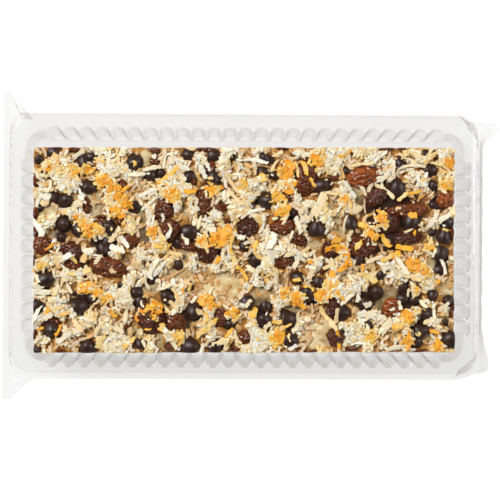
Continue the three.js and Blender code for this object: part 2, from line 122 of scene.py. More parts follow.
# The broad flakes that stand out on top, as x, y, length, width, turn in degrees and toasting.
FLAKES = (
    (-94, 41.8, 5.5, 2.2, 45, 0.75), (-79, 39.3, 3.8, 2.2, 25, 0.85), (-93, 36, 5.5, 2.2, -60, 0),
    (-99, 27, 5.5, 4, -20, 0), (-94, 46.3, 4.2, 3, -50, 0), (-99.3, 42, 3.2, 3, 0, 0.15),
    (-83, 47.5, 7.5, 2.4, 35, 0.12), (-101.5, 11, 11, 3.4, -60, 0.04), (-96.8, 15.5, 8, 2.4, 55, 0),
    (-81.5, 14.5, 7.5, 3, -50, 0.7), (-80, 10.5, 7, 3, 30, 0.72), (-73, 11, 8.5, 2.6, -40, 0.5),
    (-69.3, 9, 5, 2.4, -80, 0.2), (-65, 7.5, 9, 2.6, 55, 0.02), (-60.3, 13.5, 3, 2, 70, 0.3),
    (-60, 4, 7.5, 2.4, -50, 0), (-96.5, 1.8, 6.5, 1.5, 40, 0.75), (-65, 36.5, 6, 2.2, 30, 0),
    (-68.5, 39, 6, 2.4, -45, 0), (-68, 45.5, 6, 2.6, 75, 0.05), (-65, 32, 8, 2.6, -20, 0.62),
    (-59, 31, 5, 1.8, 40, 0.5), (-62.5, 25.5, 8, 3.4, -50, 0.6), (-64, 20.5, 6, 3.4, 10, 0.65),
    (-61.5, 17.5, 4, 3.6, 40, 0.82), (-55.3, 43, 4, 3, 0, 0.32), (-53.5, 37.4, 9, 2, 5, 0),
    (-90.5, 31, 4, 2.4, 50, 0.05), (-82.5, 22.5, 4.5, 3, 0, 0.1), (-99.5, 24, 4.5, 3.2, 0, 0),
    (-37.5, 36.7, 14, 2.4, 33, 0.45), (-38, 32.8, 9, 2.2, -10, 0.25), (-15.5, 30.3, 9.5, 2.2, 3, 0.7),
    (-37, 28, 5, 4.5, 60, 0.7), (-27, 29.5, 6.5, 2.8, 10, 0.55), (-31.5, 37, 6.5, 3.4, -60, 0),
    (-21, 39, 8, 2.6, -70, 0.02), (-18.6, 41.3, 5, 2.8, -60, 0), (-17, 35.7, 3, 1.6, 0, 0),
    (-29.7, 5.5, 6, 2.4, -70, 0.04), (-45.3, 9, 8.5, 2.6, -80, 0.76), (-41.5, 8, 8, 2, -65, 0.15),
    (-41.5, 2.3, 9, 3, 5, 0.35), (-48, 28.5, 9.5, 2.4, 25, 0), (-7, 33, 12, 2.2, -60, 0.03),
    (-9.5, 36, 10, 2.2, -75, 0), (-5, 26, 10, 2.6, -50, 0.05), (-0.4, 24, 8, 1.9, 87, 0),
    (-3.5, 18.8, 8, 2.4, -30, 0), (-10, 9, 8, 5, 50, 0.68), (-12, 3.5, 7, 4, 20, 0.72),
    (-6.3, 5, 11, 1.8, 75, 0.35), (-19.5, 1.6, 4.6, 2.4, 0, 0.6), (-22, 5, 4.6, 2.8, 20, 0.5),
    (-40.3, 16, 4.5, 1.6, 85, 0), (-37.5, 11.5, 4, 1.3, -70, 0), (-37.5, 7.5, 5, 2.2, 60, 0),
    (-18, 11, 8, 3.4, -30, 0.08), (-46, 41, 9.5, 2.2, 10, 0), (-1.6, 6.3, 4, 3, 0, 0.1),
    (6.8, 44.5, 10, 2.2, -12, 0.02), (14.5, 42.3, 8, 1.8, 65, 0.15), (9, 36.3, 4.6, 3.2, -70, 0.32),
    (22, 42, 6.5, 3.4, -60, 0.75), (20.3, 35.5, 7, 3, 80, 0.7), (24, 33, 6, 2.8, 30, 0.66),
    (22.3, 29.3, 5, 2.6, 0, 0.72), (26.2, 40.3, 8, 1.8, -78, 0.2), (30.5, 41, 8, 2.8, -70, 0.32),
    (34, 33.6, 6, 1.8, -60, 0.36), (36.3, 45, 7, 3.8, -50, 0.78), (17, 26, 7, 3.2, -20, 0.5),
    (20.1, 23.3, 4.6, 2, 70, 0.25), (19.3, 18.8, 9, 3, 15, 0.58), (9.3, 13, 10, 1.8, 78, 0.06),
    (37.5, 23, 13, 4.4, 65, 0.1), (43.5, 28.4, 6.5, 1.9, -10, 0.02), (27, 12.5, 9, 2.8, -75, 0),
    (23.3, 7.5, 5, 1.6, 65, 0), (29, 19.3, 4, 2.4, 40, 0), (31.4, 16, 3.6, 2.8, -40, 0),
    (51, 25, 7.5, 2.6, -35, 0.6), (46, 4.6, 5, 3.6, 0, 0.5), (44.5, 1.4, 9, 3.4, 0, 0.7),
    (54, 18.3, 3.4, 1.6, 0, 0.45), (50, 48.3, 7, 2.4, 40, 0.6), (13, 4.5, 9, 4.4, 70, 0.08),
    (5.6, 2.5, 4.4, 2.6, 60, 0.35), (28, 48.4, 9, 2.2, -5, 0), (58.5, 42.8, 11.5, 2, 8, 0.05),
    (67.6, 38.6, 3.6, 2.8, -30, 0.02), (59, 29.6, 6.8, 2.2, -65, 0.08), (63, 31, 5, 2, 60, 0),
    (70.5, 30, 12, 2.2, -35, 0.15), (68.5, 36, 9, 3.2, 25, 0), (84, 42.6, 13, 2, 2, 0.05),
    (93, 46.3, 10, 2.4, 40, 0.04), (79, 26.7, 6.4, 2.6, 35, 0.25), (84, 18, 4.4, 3.4, 0, 0.56),
    (76.8, 20.3, 2.8, 2.2, 0, 0.15), (68, 15.5, 5, 4.6, 0, 0.76), (68.5, 19, 6, 1.7, -20, 0.6),
    (70.6, 12.3, 3.5, 1.7, 10, 0.5), (62, 8, 6, 3.4, -30, 0.66), (65.6, 6.5, 4.4, 2.6, 60, 0.6),
    (59, 12.5, 5, 2.8, -20, 0.4), (70.5, 4.5, 8, 2.8, -55, 0.42), (82, 9.7, 5, 1.4, 20, 0.15),
    (84.8, 8.7, 3, 1.3, 75, 0.6), (94.6, 15.3, 9, 2.8, 60, 0.02), (100.4, 16, 8, 2.6, 35, 0.1),
    (100.3, 10, 3, 2, -20, 0.05), (102.6, 43, 5, 3.6, 80, 0.85), (101.7, 31.3, 5, 3, -10, 0.6),
    (85.5, 28.7, 6, 1.6, 12, 0.46), (80, 1.2, 9, 3, -10, 0.5), (56.7, 2.3, 5, 2.8, 40, 0.3),
    (55.5, 20, 7, 4, 20, 0.05), (-101.6, -8.4, 9, 2.4, 20, 0.5), (-88.5, -3.5, 10.5, 3, 30, 0.05),
    (-84.7, -4.6, 5.4, 2.2, -50, 0.25), (-82, -11.6, 11.5, 2.4, 8, 0.2), (-80, -4, 4.4, 3.4, 50, 0),
    (-77.5, -0.8, 5, 4, 0, 0), (-72.7, -4.6, 5.4, 2.6, 60, 0), (-63.5, 0.6, 8, 3.6, -10, 0),
    (-65.4, -10.3, 3.6, 2.4, 0, 0.05), (-101, -21, 10, 2.6, 2, 0.08), (-102.2, -14, 4.4, 2.4, -60, 0),
    (-101.5, -17.3, 5, 2.8, -30, 0), (-94.7, -12, 4, 1.5, -85, 0), (-79.5, -18.5, 8, 3, 50, 0.68),
    (-77, -17, 4, 2, -40, 0.8), (-72.6, -22.4, 9, 2, -38, 0.68), (-67.8, -24, 5, 2.6, -30, 0.6),
    (-97.6, -30, 3.4, 2.6, 60, 0.5), (-89.5, -31, 5.4, 2.2, 20, 0.42), (-97.5, -33, 5, 2.8, 50, 0),
    (-103.5, -32, 10, 2.6, 62, 0.05), (-92.5, -40, 6, 2, 60, 0.66), (-101.2, -38.8, 3, 1.6, 20, 0.5),
    (-83.5, -37, 9.5, 2.8, -58, 0), (-89, -40, 3.6, 3, 0, 0), (-76.5, -34.5, 7, 3, -20, 0.02),
    (-72.2, -38, 9, 2.2, 55, 0.1), (-66, -31.5, 5, 2.8, -50, 0.42), (-72.3, -46, 6, 3.6, 85, 0.15),
    (-89.5, -43, 9, 2.8, 35, 0), (-57, -46.3, 8, 2.2, 42, 0.3), (-57, -27.8, 6, 2.8, -60, 0),
    (-54, -8.3, 6, 4.6, -30, 0), (-52.5, -32, 6, 3.6, 60, 0.76), (-45.5, -9, 11, 2.4, 62, 0),
    (-42, -9.5, 10, 2.4, 50, 0), (-49, -11.5, 9, 2.2, -40, 0),
    (-40, -18.8, 8, 1.8, 20, 0.04), (-34.2, -22, 9, 2.6, -65, 0.05), (-31, -20.4, 4.4, 1.6, 80, 0.72),
    (-27.4, -18.6, 5, 1.6, 75, 0), (-35.5, -27.5, 6, 2.4, -50, 0), (-25.2, -25, 4.4, 2, 50, 0),
    (-21.7, -26, 5, 3.8, -60, 0.66), (-16.4, -26.3, 6.4, 2.2, -40, 0.6), (-14, -28, 5, 1.7, -20, 0.55),
    (-22, -31, 6, 2.8, -30, 0.05), (-18.8, -33, 5.4, 1.6, -75, 0.4), (-6.3, -31.4, 7.4, 3, 18, 0.58),
    (-17, -37, 9, 2.8, 50, 0.3), (-20.5, -41, 9, 3, 35, 0.15), (-33, -43, 6, 3, 20, 0.38),
    (-41.5, -38.2, 4.4, 2.8, 60, 0.3), (-48, -39.4, 3.4, 2, 0, 0.45), (-43, -26.6, 6, 3, -20, 0.66),
    (-47, -29.6, 7, 3, 30, 0.42), (-46.5, -33.5, 6, 2.6, 10, 0.6), (-36.4, -45, 11, 2.6, -60, 0.1),
    (-45.6, -47.3, 4.6, 2.6, -60, 0), (-50, -46.5, 4, 1.8, -60, 0), (-7.6, -41.3, 6, 1.9, 45, 0.5),
    (-12, -46, 9, 3, 10, 0.08), (-5, -5, 10, 2.8, -70, 0.3), (0, -12.3, 7, 2, -60, 0.46),
    (-13.4, -5, 4.4, 2, 70, 0.62), (-25, -8, 7, 1.8, 85, 0.02), (1.8, -26.6, 5, 2, 50, 0.03),
    (4.4, -31.3, 6, 3.8, 60, 0.36), (17, -36, 7, 2.4, 10, 0.32), (21, -37.6, 5, 2, 15, 0.3),
    (11.6, -38, 4.4, 2.8, 30, 0.05), (12.5, -18, 5.4, 2.6, 50, 0), (25.9, -14.6, 4.6, 2.1, 15, 0.36),
    (29.8, -14, 4, 1.1, -75, 0.2), (32, -18.6, 5.6, 2.4, -15, 0.36), (20.6, -21.8, 7, 2.2, 60, 0.62),
    (26, -23, 5, 3.8, 30, 0.76), (28, -27, 6, 2.6, -20, 0.6), (37, -22.6, 5, 3.8, 0, 0.7),
    (42.6, -17.5, 15, 3.2, 78, 0.55), (48, -22.7, 6.4, 1.9, -52, 0.5), (51, -5, 7, 2.6, -70, 0.6),
    (48.8, -9, 6, 2.4, 35, 0.58), (48.2, -3.6, 3.4, 1.7, 60, 0.2), (42, -8, 6.4, 2.2, 30, 0.1),
    (32.8, -6, 2.8, 2.2, 0, 0.72), (26, -6.4, 6, 2.8, 60, 0), (13, -3, 9, 3.8, 80, 0.15),
    (6.6, -2.4, 6, 2.2, -40, 0), (2.8, -9, 5, 2.4, -40, 0.15), (39.6, -31.8, 8, 2.6, -55, 0.12),
    (44, -37.2, 7, 2.8, -60, 0.12), (46, -32.8, 8, 2.2, 85, 0), (51.5, -24.3, 9.4, 2.2, 42, 0),
    (46.7, -44.5, 10, 2.2, -86, 0.5), (24, -48.4, 5, 2.6, 30, 0), (5, -41, 5, 2.8, 80, 0),
    (65, -4.6, 9, 2.2, 22, 0.06), (72, -4, 8, 2.2, 30, 0.3), (76.6, -2.6, 5, 3.6, 60, 0.52),
    (84, -7.6, 8, 3.6, -30, 0.78), (78.3, -7.5, 12, 2.4, -58, 0.1), (83.6, -13.4, 10, 2.4, -18, 0.1),
    (90.8, -11.4, 4.8, 2.2, 55, 0.72), (85.4, -20, 4.6, 2.8, -85, 0.46), (90.6, -19, 5.4, 3.6, 80, 0.12),
    (97, -16, 2.4, 1.6, 60, 0.62), (99.6, -8, 8.4, 2, -72, 0), (62.7, -13.8, 8, 2.8, -35, 0.25),
    (59, -8.6, 3.4, 1.4, -80, 0.62), (56.9, -24.8, 3.2, 2.6, 30, 0), (61.7, -27.4, 4.2, 2.6, 30, 0.04),
    (59, -32, 5, 3.4, 20, 0), (73.6, -29.5, 2.8, 1.6, 20, 0.05), (77.4, -27.6, 4.8, 2, -80, 0.1),
    (81, -32, 6, 3.6, -40, 0.7), (78, -37, 9, 4.4, 30, 0.36), (89.6, -27, 5, 2.4, -60, 0.15),
    (87.2, -30.2, 5, 3.2, 40, 0.04), (95, -40.6, 5, 1.9, -15, 0.62), (94, -37, 10, 2.8, -25, 0.08),
    (86.6, -42, 2.8, 2.2, 0, 0.25), (81.8, -45.4, 9, 2.6, 80, 0.74), (96.6, -47, 6.4, 2.6, 75, 0.56),
    (70, -38, 9, 3.8, 60, 0.02), (75, -49, 9, 2.4, 10, 0.1), (100, -28.5, 7, 2.6, 40, 0.05),
)

# Tufts of coconut that browned in the oven, as x, y, spread and how far they browned.
TOASTED_TUFTS = (
    (-97.3, 41.1, 2.2, 0.5), (-91.3, 40.1, 2.6, 0.3), (-84.8, 39.1, 2.6, 0.35), (-78.3, 39.6, 2, 0.7),
    (-69.8, 34.1, 2.6, 0.75), (-66.3, 31.1, 2.2, 0.65), (-62.3, 27.1, 2.4, 0.7),
    (-59.8, 22.6, 2.6, 0.65), (-63.3, 19.1, 2, 0.75), (-79.8, 12.6, 2, 0.7), (-77.3, 8.6, 2.2, 0.7),
    (-71.3, 9.6, 1.8, 0.4), (-36.3, 27.6, 2.6, 0.7), (-15.8, 30.1, 2.2, 0.6), (-0.8, 32.1, 2, 0.4),
    (15.7, 26.6, 2.8, 0.45), (20.7, 39.1, 2.8, 0.75), (35.7, 45.1, 2.6, 0.75), (19.2, 18.6, 2.2, 0.6),
    (50.2, 25.1, 1.8, 0.55), (102.2, 43.6, 1.8, 0.8), (100.2, 32.6, 2.2, 0.5), (-10.8, 7.6, 3.2, 0.65),
    (-14.8, 5.1, 2.8, 0.7), (-21.3, 4.6, 2, 0.5), (-41.3, 1.6, 1.8, 0.35), (-45.3, 9.6, 1.8, 0.7),
    (85.2, -7.4, 2.6, 0.75), (90.7, -10.9, 1.6, 0.65), (92.7, 1.1, 2.2, 0.4), (68.7, 15.6, 2.2, 0.75),
    (62.7, 8.1, 2.6, 0.6), (-100.8, -7.4, 1.8, 0.4), (-78.3, -18.4, 2.2, 0.75),
    (-73.3, -21.4, 1.8, 0.6), (-68.3, -23.9, 1.6, 0.5), (-17.8, -25.9, 2.6, 0.62),
    (-5.3, -31.9, 2.2, 0.55), (-46.3, -30.9, 3.2, 0.6), (-33.3, -43.4, 2.4, 0.4),
    (16.7, -43.9, 3.4, 0.65), (26.7, -24.4, 2.4, 0.7), (38.7, -22.4, 2.4, 0.7), (43.2, -17.4, 2.2, 0.5),
    (20.2, -21.4, 1.6, 0.6), (81.2, -33.4, 2.6, 0.65), (81.7, -45.4, 1.8, 0.7), (96.7, -47.9, 2, 0.55),
    (85.7, -20.4, 1.4, 0.45), (62.7, -42.4, 3, 0.35),
)

# Toasted shreds rolled up into arcs, as the middle's x and y, the radius, the direction of the
# arc's own middle and its sweep in degrees, and toasting.
TOASTED_CURLS = (
    (16.4, -43.4, 1.0, 40, 210, 0.75), (16.4, -43.4, 2.1, 160, 170, 0.6),
    (16.4, -43.4, 2.2, 340, 150, 0.7), (16.3, -43.4, 3.4, 80, 120, 0.5),
    (16.3, -43.4, 3.4, 220, 110, 0.62), (16.3, -43.4, 3.6, 335, 100, 0.45),
    (46.4, -3.2, 5.6, 85, 140, 0.72), (46.4, -3.2, 5.7, -25, 80, 0.85),
)

# Smaller chocolate drops, half sunk in the mix, as x, y, width and height of what shows.
SMALL_DROPS = (
    (-95.2, 25.6, 6.5, 9.5), (-75.3, 46.1, 4, 8.5), (-95.3, 48.6, 5, 6.5), (-102.3, 45.1, 5.5, 5.5),
    (-41.8, 38.1, 5, 5), (-47, 38, 7.5, 6.5), (-28.3, 47.6, 5, 6.5), (-27, 36.6, 6, 7),
    (10.2, 45.6, 6.5, 5.5), (94.5, 32.1, 6, 5), (78, 43.1, 7, 7), (92.5, 40.1, 5.5, 7.5),
    (76.7, 30.6, 11, 8.5), (-82, 11.1, 9.5, 9.5), (-91.3, 6.1, 6, 6), (-74, 5.8, 7.5, 6.5),
    (-55.8, 21.6, 6, 8), (-33.3, -7.4, 6, 5), (-0.3, 2.1, 6.5, 5), (25.2, 18.1, 6, 5.5),
    (5.2, -5.4, 7.5, 6), (26.5, -13.9, 6, 7.5), (36.7, -16.4, 7, 4.5), (83.7, 13.1, 11, 6.5),
    (94.2, 9.1, 6, 6), (101.2, 14.1, 6.5, 8.5), (98.2, -9.9, 6, 7), (68.4, -12.8, 7, 6.5),
    (-103.8, -28.4, 6, 9.5), (-53.8, -20.9, 6.5, 7), (-46.8, -14.9, 9.5, 4), (-27.3, -19.4, 4.5, 6.5),
    (-51.8, -46.9, 7, 6.5), (-14.3, -49.4, 9, 2.5), (-7.8, -36.9, 6, 7), (10.7, -28.9, 7.5, 5),
    (79.5, -18.7, 6, 6), (79.5, -24.9, 6, 6.5), (85.7, -24.9, 5, 6.5), (94.7, -22.9, 6, 5.5),
    (102.2, -25.4, 6, 6.5), (62, -37.4, 6, 6.5), (85.5, -46.2, 6, 9), (100.7, -36.4, 4.5, 4),
    (49.2, -31.4, 4, 10), (-103.3, -49.4, 5, 5), (-101.9, 20.9, 4, 5), (-68.5, 3.4, 8, 5),
    (-33, 3.2, 6, 4.5), (-14.8, 47.2, 4, 8), (-5.2, 46, 4.5, 3.5), (9, 39.5, 7.5, 7),
    (14.8, 37.6, 5, 6), (-70.5, 0.2, 7, 4.5), (-52.3, -26.4, 7, 4.5), (-61.7, -17.2, 3.4, 3.6),
    (-76, -24.4, 6.5, 5), (24, -5.6, 4.5, 5), (57.5, -4.8, 7, 4.5), (95, 22.5, 4.5, 6),
    (51.4, 39.3, 4, 5), (90.2, 48.8, 4, 3.5),
)

# Smaller raisins, as x, y, width and height of what shows.
SMALL_RAISINS = (
    (-85.5, -7.4, 8.5, 5), (-19.3, 50.1, 9, 3), (-57, 4.6, 9, 7), (-0.3, -43.4, 6, 7),
    (20.7, 26.1, 5, 6.5), (-44.8, 44.6, 4.5, 5.5), (-60.9, 32.4, 5.5, 4.5), (-78.3, 22.1, 3.5, 8.5),
    (-104.3, 34.1, 3, 6), (-104.3, 18.6, 3, 6), (-71.8, 16.6, 6, 2),
    (-84.8, 50, 6.5, 2.5), (-99.2, 39.3, 3.5, 5.5), (-71.5, 13.6, 7, 4.5), (-62.3, 14.2, 4.5, 4.5),
    (-44.8, 49.8, 6, 3), (-25.2, 34.2, 3, 4), (-28.5, 1.6, 9, 4), (-104.2, 9.5, 3, 6),
    (-16.3, 41, 5, 7), (-11.5, 21.6, 8, 4), (24.3, 47.2, 3, 3), (44.8, 36, 5, 2.8),
    (-8.5, 14.4, 4.5, 3), (-85.2, -21.6, 3.5, 2.5), (-72.3, -28.3, 3.2, 2.2), (-95.5, -35.6, 9, 5),
    (-91.8, -41, 3.5, 5), (-58.6, -38.3, 2.6, 2.6), (-91.5, -50.2, 5, 2.2), (-38, -48.3, 4, 5),
    (-32, -50.4, 5, 2), (39.2, -10, 3, 5), (53.5, -49.3, 6, 3), (95.6, 47.2, 2.8, 4),
    (-15, -49.6, 9, 2.8), (-5, -49.4, 5, 3), (71, 50.6, 8, 1.8), (79, 50.7, 5, 1.6),
    (-94, 50.7, 6, 1.6), (19, 50.7, 7, 1.6), (104.3, 8, 1.8, 7), (104.3, -30, 1.8, 8),
    (-104.6, -6, 1.6, 8), (-104.6, -42, 1.6, 6), (33, -50.7, 7, 1.6), (88, -50.6, 6, 2),
)

RAISIN_NODES = sorted(name for name in frame["nodes"] if name.startswith("raisin"))
DROP_NODES = sorted(name for name in frame["nodes"] if name.startswith("chip"))

# ---- settings ---------------------------------------------------------------------------------


def length(name, description, millimetres):
    """A length that the panel shows with its unit."""
    return bpy.props.FloatProperty(
        name=name, description=description, default=millimetres * MM, unit="LENGTH", precision=5
    )


def number(name, description, whole):
    """How many of a thing there are."""
    return bpy.props.IntProperty(name=name, description=description, default=whole, min=0)


def amount(name, description, value, subtype="NONE", most=1000.0):
    """A share, a strength or a power."""
    return bpy.props.FloatProperty(
        name=name, description=description, default=value, min=0, max=most, subtype=subtype
    )


def srgb(shade):
    """The three values, up to 1, of an sRGB hex colour."""
    return tuple(int(shade[i : i + 2], 16) / 255 for i in (1, 3, 5))


def colour(name, description, shade):
    """A colour picker, from an sRGB hex colour."""
    return bpy.props.FloatVectorProperty(
        name=name, description=description, default=srgb(shade), size=3, min=0, max=1,
        subtype="COLOR_GAMMA",
    )


class SlabSettings(bpy.types.PropertyGroup):
    spacing: length("Spacing", "Distance between the points of the slab's surface", 0.85)
    lumps: length("Lumps", "Height of the lumps of coconut under the glaze", 0.32)
    crumb: length("Crumb", "Depth of the torn crumb on the cut sides", 0.3)
    mix: colour("Mix", "The baked coconut mix", "#b27f40")
    glaze: colour("Glaze", "The set milky glaze in the hollows", "#eee0bc")
    thin: colour("Thin glaze", "Glaze so thin that the brown mix shows through", "#ccaf80")
    # The stain colour is also painted shade in the bare gaps between crowded toppings and round the
    # drops.
    stain_and_shade: colour("Stain", "Glaze that chocolate and raisins have darkened", "#2c1308")
    bake: colour("Bake", "The browned foot of the slab", "#ba884c")
    cut: colour("Cut", "The pale inside of the mix where the knife cut it", "#e8d09e")
    cut_drops: number("Cut drops", "Chocolate drops that the knife cut through", 46)
    cut_raisins: number("Cut raisins", "Raisins that the knife cut through", 24)
    cut_shreds: number("Cut shreds", "Shreds that end at the cut sides", 1500)


class CoconutSettings(bpy.types.PropertyGroup):
    shreds: number("Shreds", "Long shreds that lie on the top", 2400)
    sunk: number("Sunk shreds", "Shreds that the glaze has half covered", 850)
    crumbs: number("Crumbs", "Short bits of coconut between the shreds", 3300)
    specks: number("Specks", "Tiny bits, a few of them on drops and raisins", 700)
    in_a_tuft: number("In a tuft", "Toasted shreds in each browned tuft", 30)
    length: length("Length", "Mean length of a shred", 4.7)
    width: length("Width", "Mean width of a shred", 1.75)
    thickness: length("Thickness", "Mean thickness of a shred", 0.6)
    pile: length("Pile", "How high the coconut may heap up over the mix", 2.6)
    pale: colour("Pale", "Dried coconut as it comes", "#f9f2df")
    straw: colour("Straw", "Coconut that the glaze has soaked", "#ecc06e")
    golden: colour("Golden", "Coconut that has begun to brown", "#fcd67a")
    toasted: colour("Toasted", "Toasted coconut", "#ffb42c")
    dark: colour("Dark", "The tips that browned most", "#fa9a1e")


class ToppingSettings(bpy.types.PropertyGroup):
    fold: amount("Fold", "Depth of a raisin's folds, as a share of its thickness", 0.15, "FACTOR", 0.4)
    chocolate: colour("Chocolate", "Dark chocolate", "#220e06")
    bloom: colour("Bloom", "Pale bloom on the chocolate", "#442516")
    raisin: colour("Raisin", "A raisin's skin", "#5c240b")
    amber: colour("Amber", "A raisin where light comes through", "#d66c22")


class TraySettings(bpy.types.PropertyGroup):
    wall: length("Wall", "Thickness of the formed sheet", 0.5)
    flute_depth: length("Flute depth", "How far a flute stands out below the flange", 2.1)
    flute_width: length("Flute width", "Width of a flute", 6.4)
    sheet: colour("Sheet", "The clear sheet's faint tint", "#fdfdfd")


class FilmSettings(bpy.types.PropertyGroup):
    thickness: length("Thickness", "Thickness that the film is drawn with", 0.08)
    crimp: length("Crimp", "Distance between the ridges of the end seals", 1.3)
    slack: length("Slack", "Height of the wrinkles at the corners", 0.9)
    tint: colour("Tint", "The film's faint tint", "#fafafa")


class StudioSettings(bpy.types.PropertyGroup):
    key: amount("Key", "Power of the big soft light at the upper left", 68, "POWER")
    fill: amount("Fill", "Power of the small crisp light at the right", 11, "POWER")
    sky: amount("Surround", "Strength of the light from all round", 0.45)
    floor: colour("Floor", "The frosted table itself, without the light in it", "#707070")
    glow: amount("Glow", "Light that comes up through the frosted table", 0.9)


# ---- numbers and surfaces ---------------------------------------------------------------------


def linear(shade):
    """An sRGB colour, as a hex string or three numbers up to 1, turned to linear RGBA."""
    if isinstance(shade, str):
        shade = srgb(shade)
    low = [c / 12.92 if c <= 0.04045 else ((c + 0.055) / 1.055) ** 2.4 for c in shade]
    return (*low, 1.0)


def shade_of(rgb, factor):
    """An sRGB colour made lighter or darker, as three numbers up to 1."""
    return tuple(min(1.0, c * factor) for c in rgb)


def ripple(points, wavelength, seed, count=14):
    """Smooth noise between about -1 and 1: a sum of sine waves of like length, each running in
    its own random direction with its own phase."""
    rng = np.random.default_rng(seed)
    ways = rng.normal(size=(count, points.shape[-1]))
    ways /= np.linalg.norm(ways, axis=1)[:, None]
    ways *= 2 * np.pi / (wavelength * rng.uniform(0.75, 1.35, count))[:, None]
    phases = rng.uniform(0, 2 * np.pi, count)
    return np.sin(points @ ways.T + phases).sum(-1) / math.sqrt(count * 1.6)


def smooth(value, low, high):
    """0 below low, 1 above high, and an S curve between them."""
    t = np.clip((value - low) / (high - low), 0, 1)
    return t * t * (3 - 2 * t)


def turning(angle):
    """The matrix that turns rows of points anticlockwise about Z."""
    c, s = math.cos(angle), math.sin(angle)
    return np.array([[c, s, 0], [-s, c, 0], [0, 0, 1]])


def to_row(points):
    """Points of the slab's frame, in the row's frame."""
    return points @ turning(SLAB_TURN) + [*SLAB_CENTRE[:2], 0]


def from_row(points):
    """Points of the row's frame, in the slab's frame."""
    return (points - [*SLAB_CENTRE[:2], 0]) @ turning(-SLAB_TURN)


def within_cut(points, proud=0.05):
    """Points held inside the slab's knife-cut sides, so that what crosses them ends flat there."""
    held = points.copy()
    limit = SLAB_HALF + proud
    held[..., :2] = np.clip(held[..., :2], -limit, limit)
    return held


def swell(x, y):
    """Height of the baked top: broad swells with smaller lumps on them."""
    broad = np.sin(x / 9.1 + 1.3 * np.sin(y / 15)) * np.cos(y / 8.3 + np.sin(x / 19))
    lumps = np.sin(x / 4.3 + 2) * np.sin(y / 4.1 + x / 13)
    return SLAB_TOP + 0.55 * broad + 0.3 * lumps


def in_ellipses(x, y, rows, inner=0.65, outer=1.25):
    """1 inside each ellipse of the rows and 0 well outside it, as one array for each row. A row
    starts with the middle's x and y, half length and half width, and may go on with a turn."""
    covers = []
    for px, py, half_long, half_wide, *rest in rows:
        turn = math.radians(rest[0]) if rest else 0
        c, s = math.cos(turn), math.sin(turn)
        dx, dy = x - px, y - py
        far = np.hypot((dx * c + dy * s) / half_long, (dy * c - dx * s) / half_wide)
        covers.append(1 - smooth(far, inner, outer))
    return np.array(covers)


def pool_depth(x, y):
    """1 in the middle of a pool of glaze and 0 away from it, with a ragged edge."""
    ragged = 0.22 * ripple(np.stack([x, y], -1), 3.2, 15)
    return smooth(in_ellipses(x, y, POOLS, 0.5, 1.4).max(0) + ragged, 0.3, 0.62)


def stain_and_gap_shade(x, y):
    """How dark the glaze is at each place: as chocolate darkened its pool, and fully in the bare gaps,
    where the darkness is painted shade.
    """
    shares = np.array([row[5] for row in POOLS]).reshape(-1, *[1] * x.ndim)
    gaps = in_ellipses(x, y, SHADED_BARE_GAPS).max(0)
    return np.maximum((in_ellipses(x, y, POOLS) * shares).max(0), gaps)


def rings_of(rows, columns, start=0, closed=True):
    """Four-cornered faces between neighbouring rows of a grid of points."""
    index = start + np.arange(rows * columns).reshape(rows, columns)
    across = np.roll(index, -1, axis=1) if closed else index[:, 1:]
    index = index if closed else index[:, :-1]
    return np.stack([index[:-1], across[:-1], across[1:], index[1:]], -1).reshape(-1, 4)


def capped(rings, low, high):
    """A closed body from rings that run anticlockwise seen from high: its points, and its faces
    with a fan at each pole."""
    count, around = rings.shape[:2]
    points = np.concatenate([rings.reshape(-1, 3), [low, high]])
    first = np.arange(around)
    last = first + (count - 1) * around
    bottom = np.stack([np.roll(first, -1), first, np.full(around, count * around)], -1)
    top = np.stack([last, np.roll(last, -1), np.full(around, count * around + 1)], -1)
    return points, [rings_of(count, around), bottom, top]


def merged(bodies):
    """Several bodies, each its points and its lists of faces, as one."""
    points, faces, start = [], [], 0
    for body_points, body_faces in bodies:
        points.append(body_points)
        faces.extend(part + start for part in body_faces)
        start += len(body_points)
    return np.concatenate(points), faces


def make_mesh(name, points, faces, material, flat=(), layers=None):
    """A mesh object from points in millimetres of the row's frame and arrays of faces. The arrays
    whose places flat lists stay flat shaded; layers are named values at the points."""
    mesh = bpy.data.meshes.new(name)
    corners = np.concatenate([part.ravel() for part in faces]).astype(np.int32)
    sizes = np.concatenate([np.full(len(part), part.shape[1]) for part in faces])
    starts = np.concatenate([[0], np.cumsum(sizes)[:-1]]).astype(np.int32)
    soft = np.concatenate([np.full(len(part), i not in flat) for i, part in enumerate(faces)])
    mesh.vertices.add(len(points))
    mesh.vertices.foreach_set("co", (points * MM).astype(np.float32).ravel())
    mesh.loops.add(len(corners))
    mesh.loops.foreach_set("vertex_index", corners)
    mesh.polygons.add(len(sizes))
    mesh.polygons.foreach_set("loop_start", starts)
    mesh.polygons.foreach_set("use_smooth", soft)
    for layer, values in (layers or {}).items():
        attribute = mesh.attributes.new(layer, "FLOAT", "POINT")
        attribute.data.foreach_set("value", np.asarray(values, np.float32).ravel())
    mesh.update(calc_edges=True)
    if mesh.validate():
        raise RuntimeError(f"{name} has broken faces")
    made = bpy.data.objects.new(name, mesh)
    bpy.context.scene.collection.objects.link(made)
    mesh.materials.append(material)
    return made


def carried(made, node=None):
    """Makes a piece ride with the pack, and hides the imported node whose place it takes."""
    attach(made, BODY)
    if node:
        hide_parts(node)


def give_wall(made, thickness):
    """Gives a surface its thickness, on the side away from its normals."""
    wall = made.modifiers.new("wall", "SOLIDIFY")
    wall.thickness = thickness
    wall.offset = -1


def corners_of(made):
    """The points of a mesh object, in millimetres of the row's frame."""
    flat = np.empty(len(made.data.vertices) * 3, np.float32)
    made.data.vertices.foreach_get("co", flat)
    return flat.reshape(-1, 3) / MM


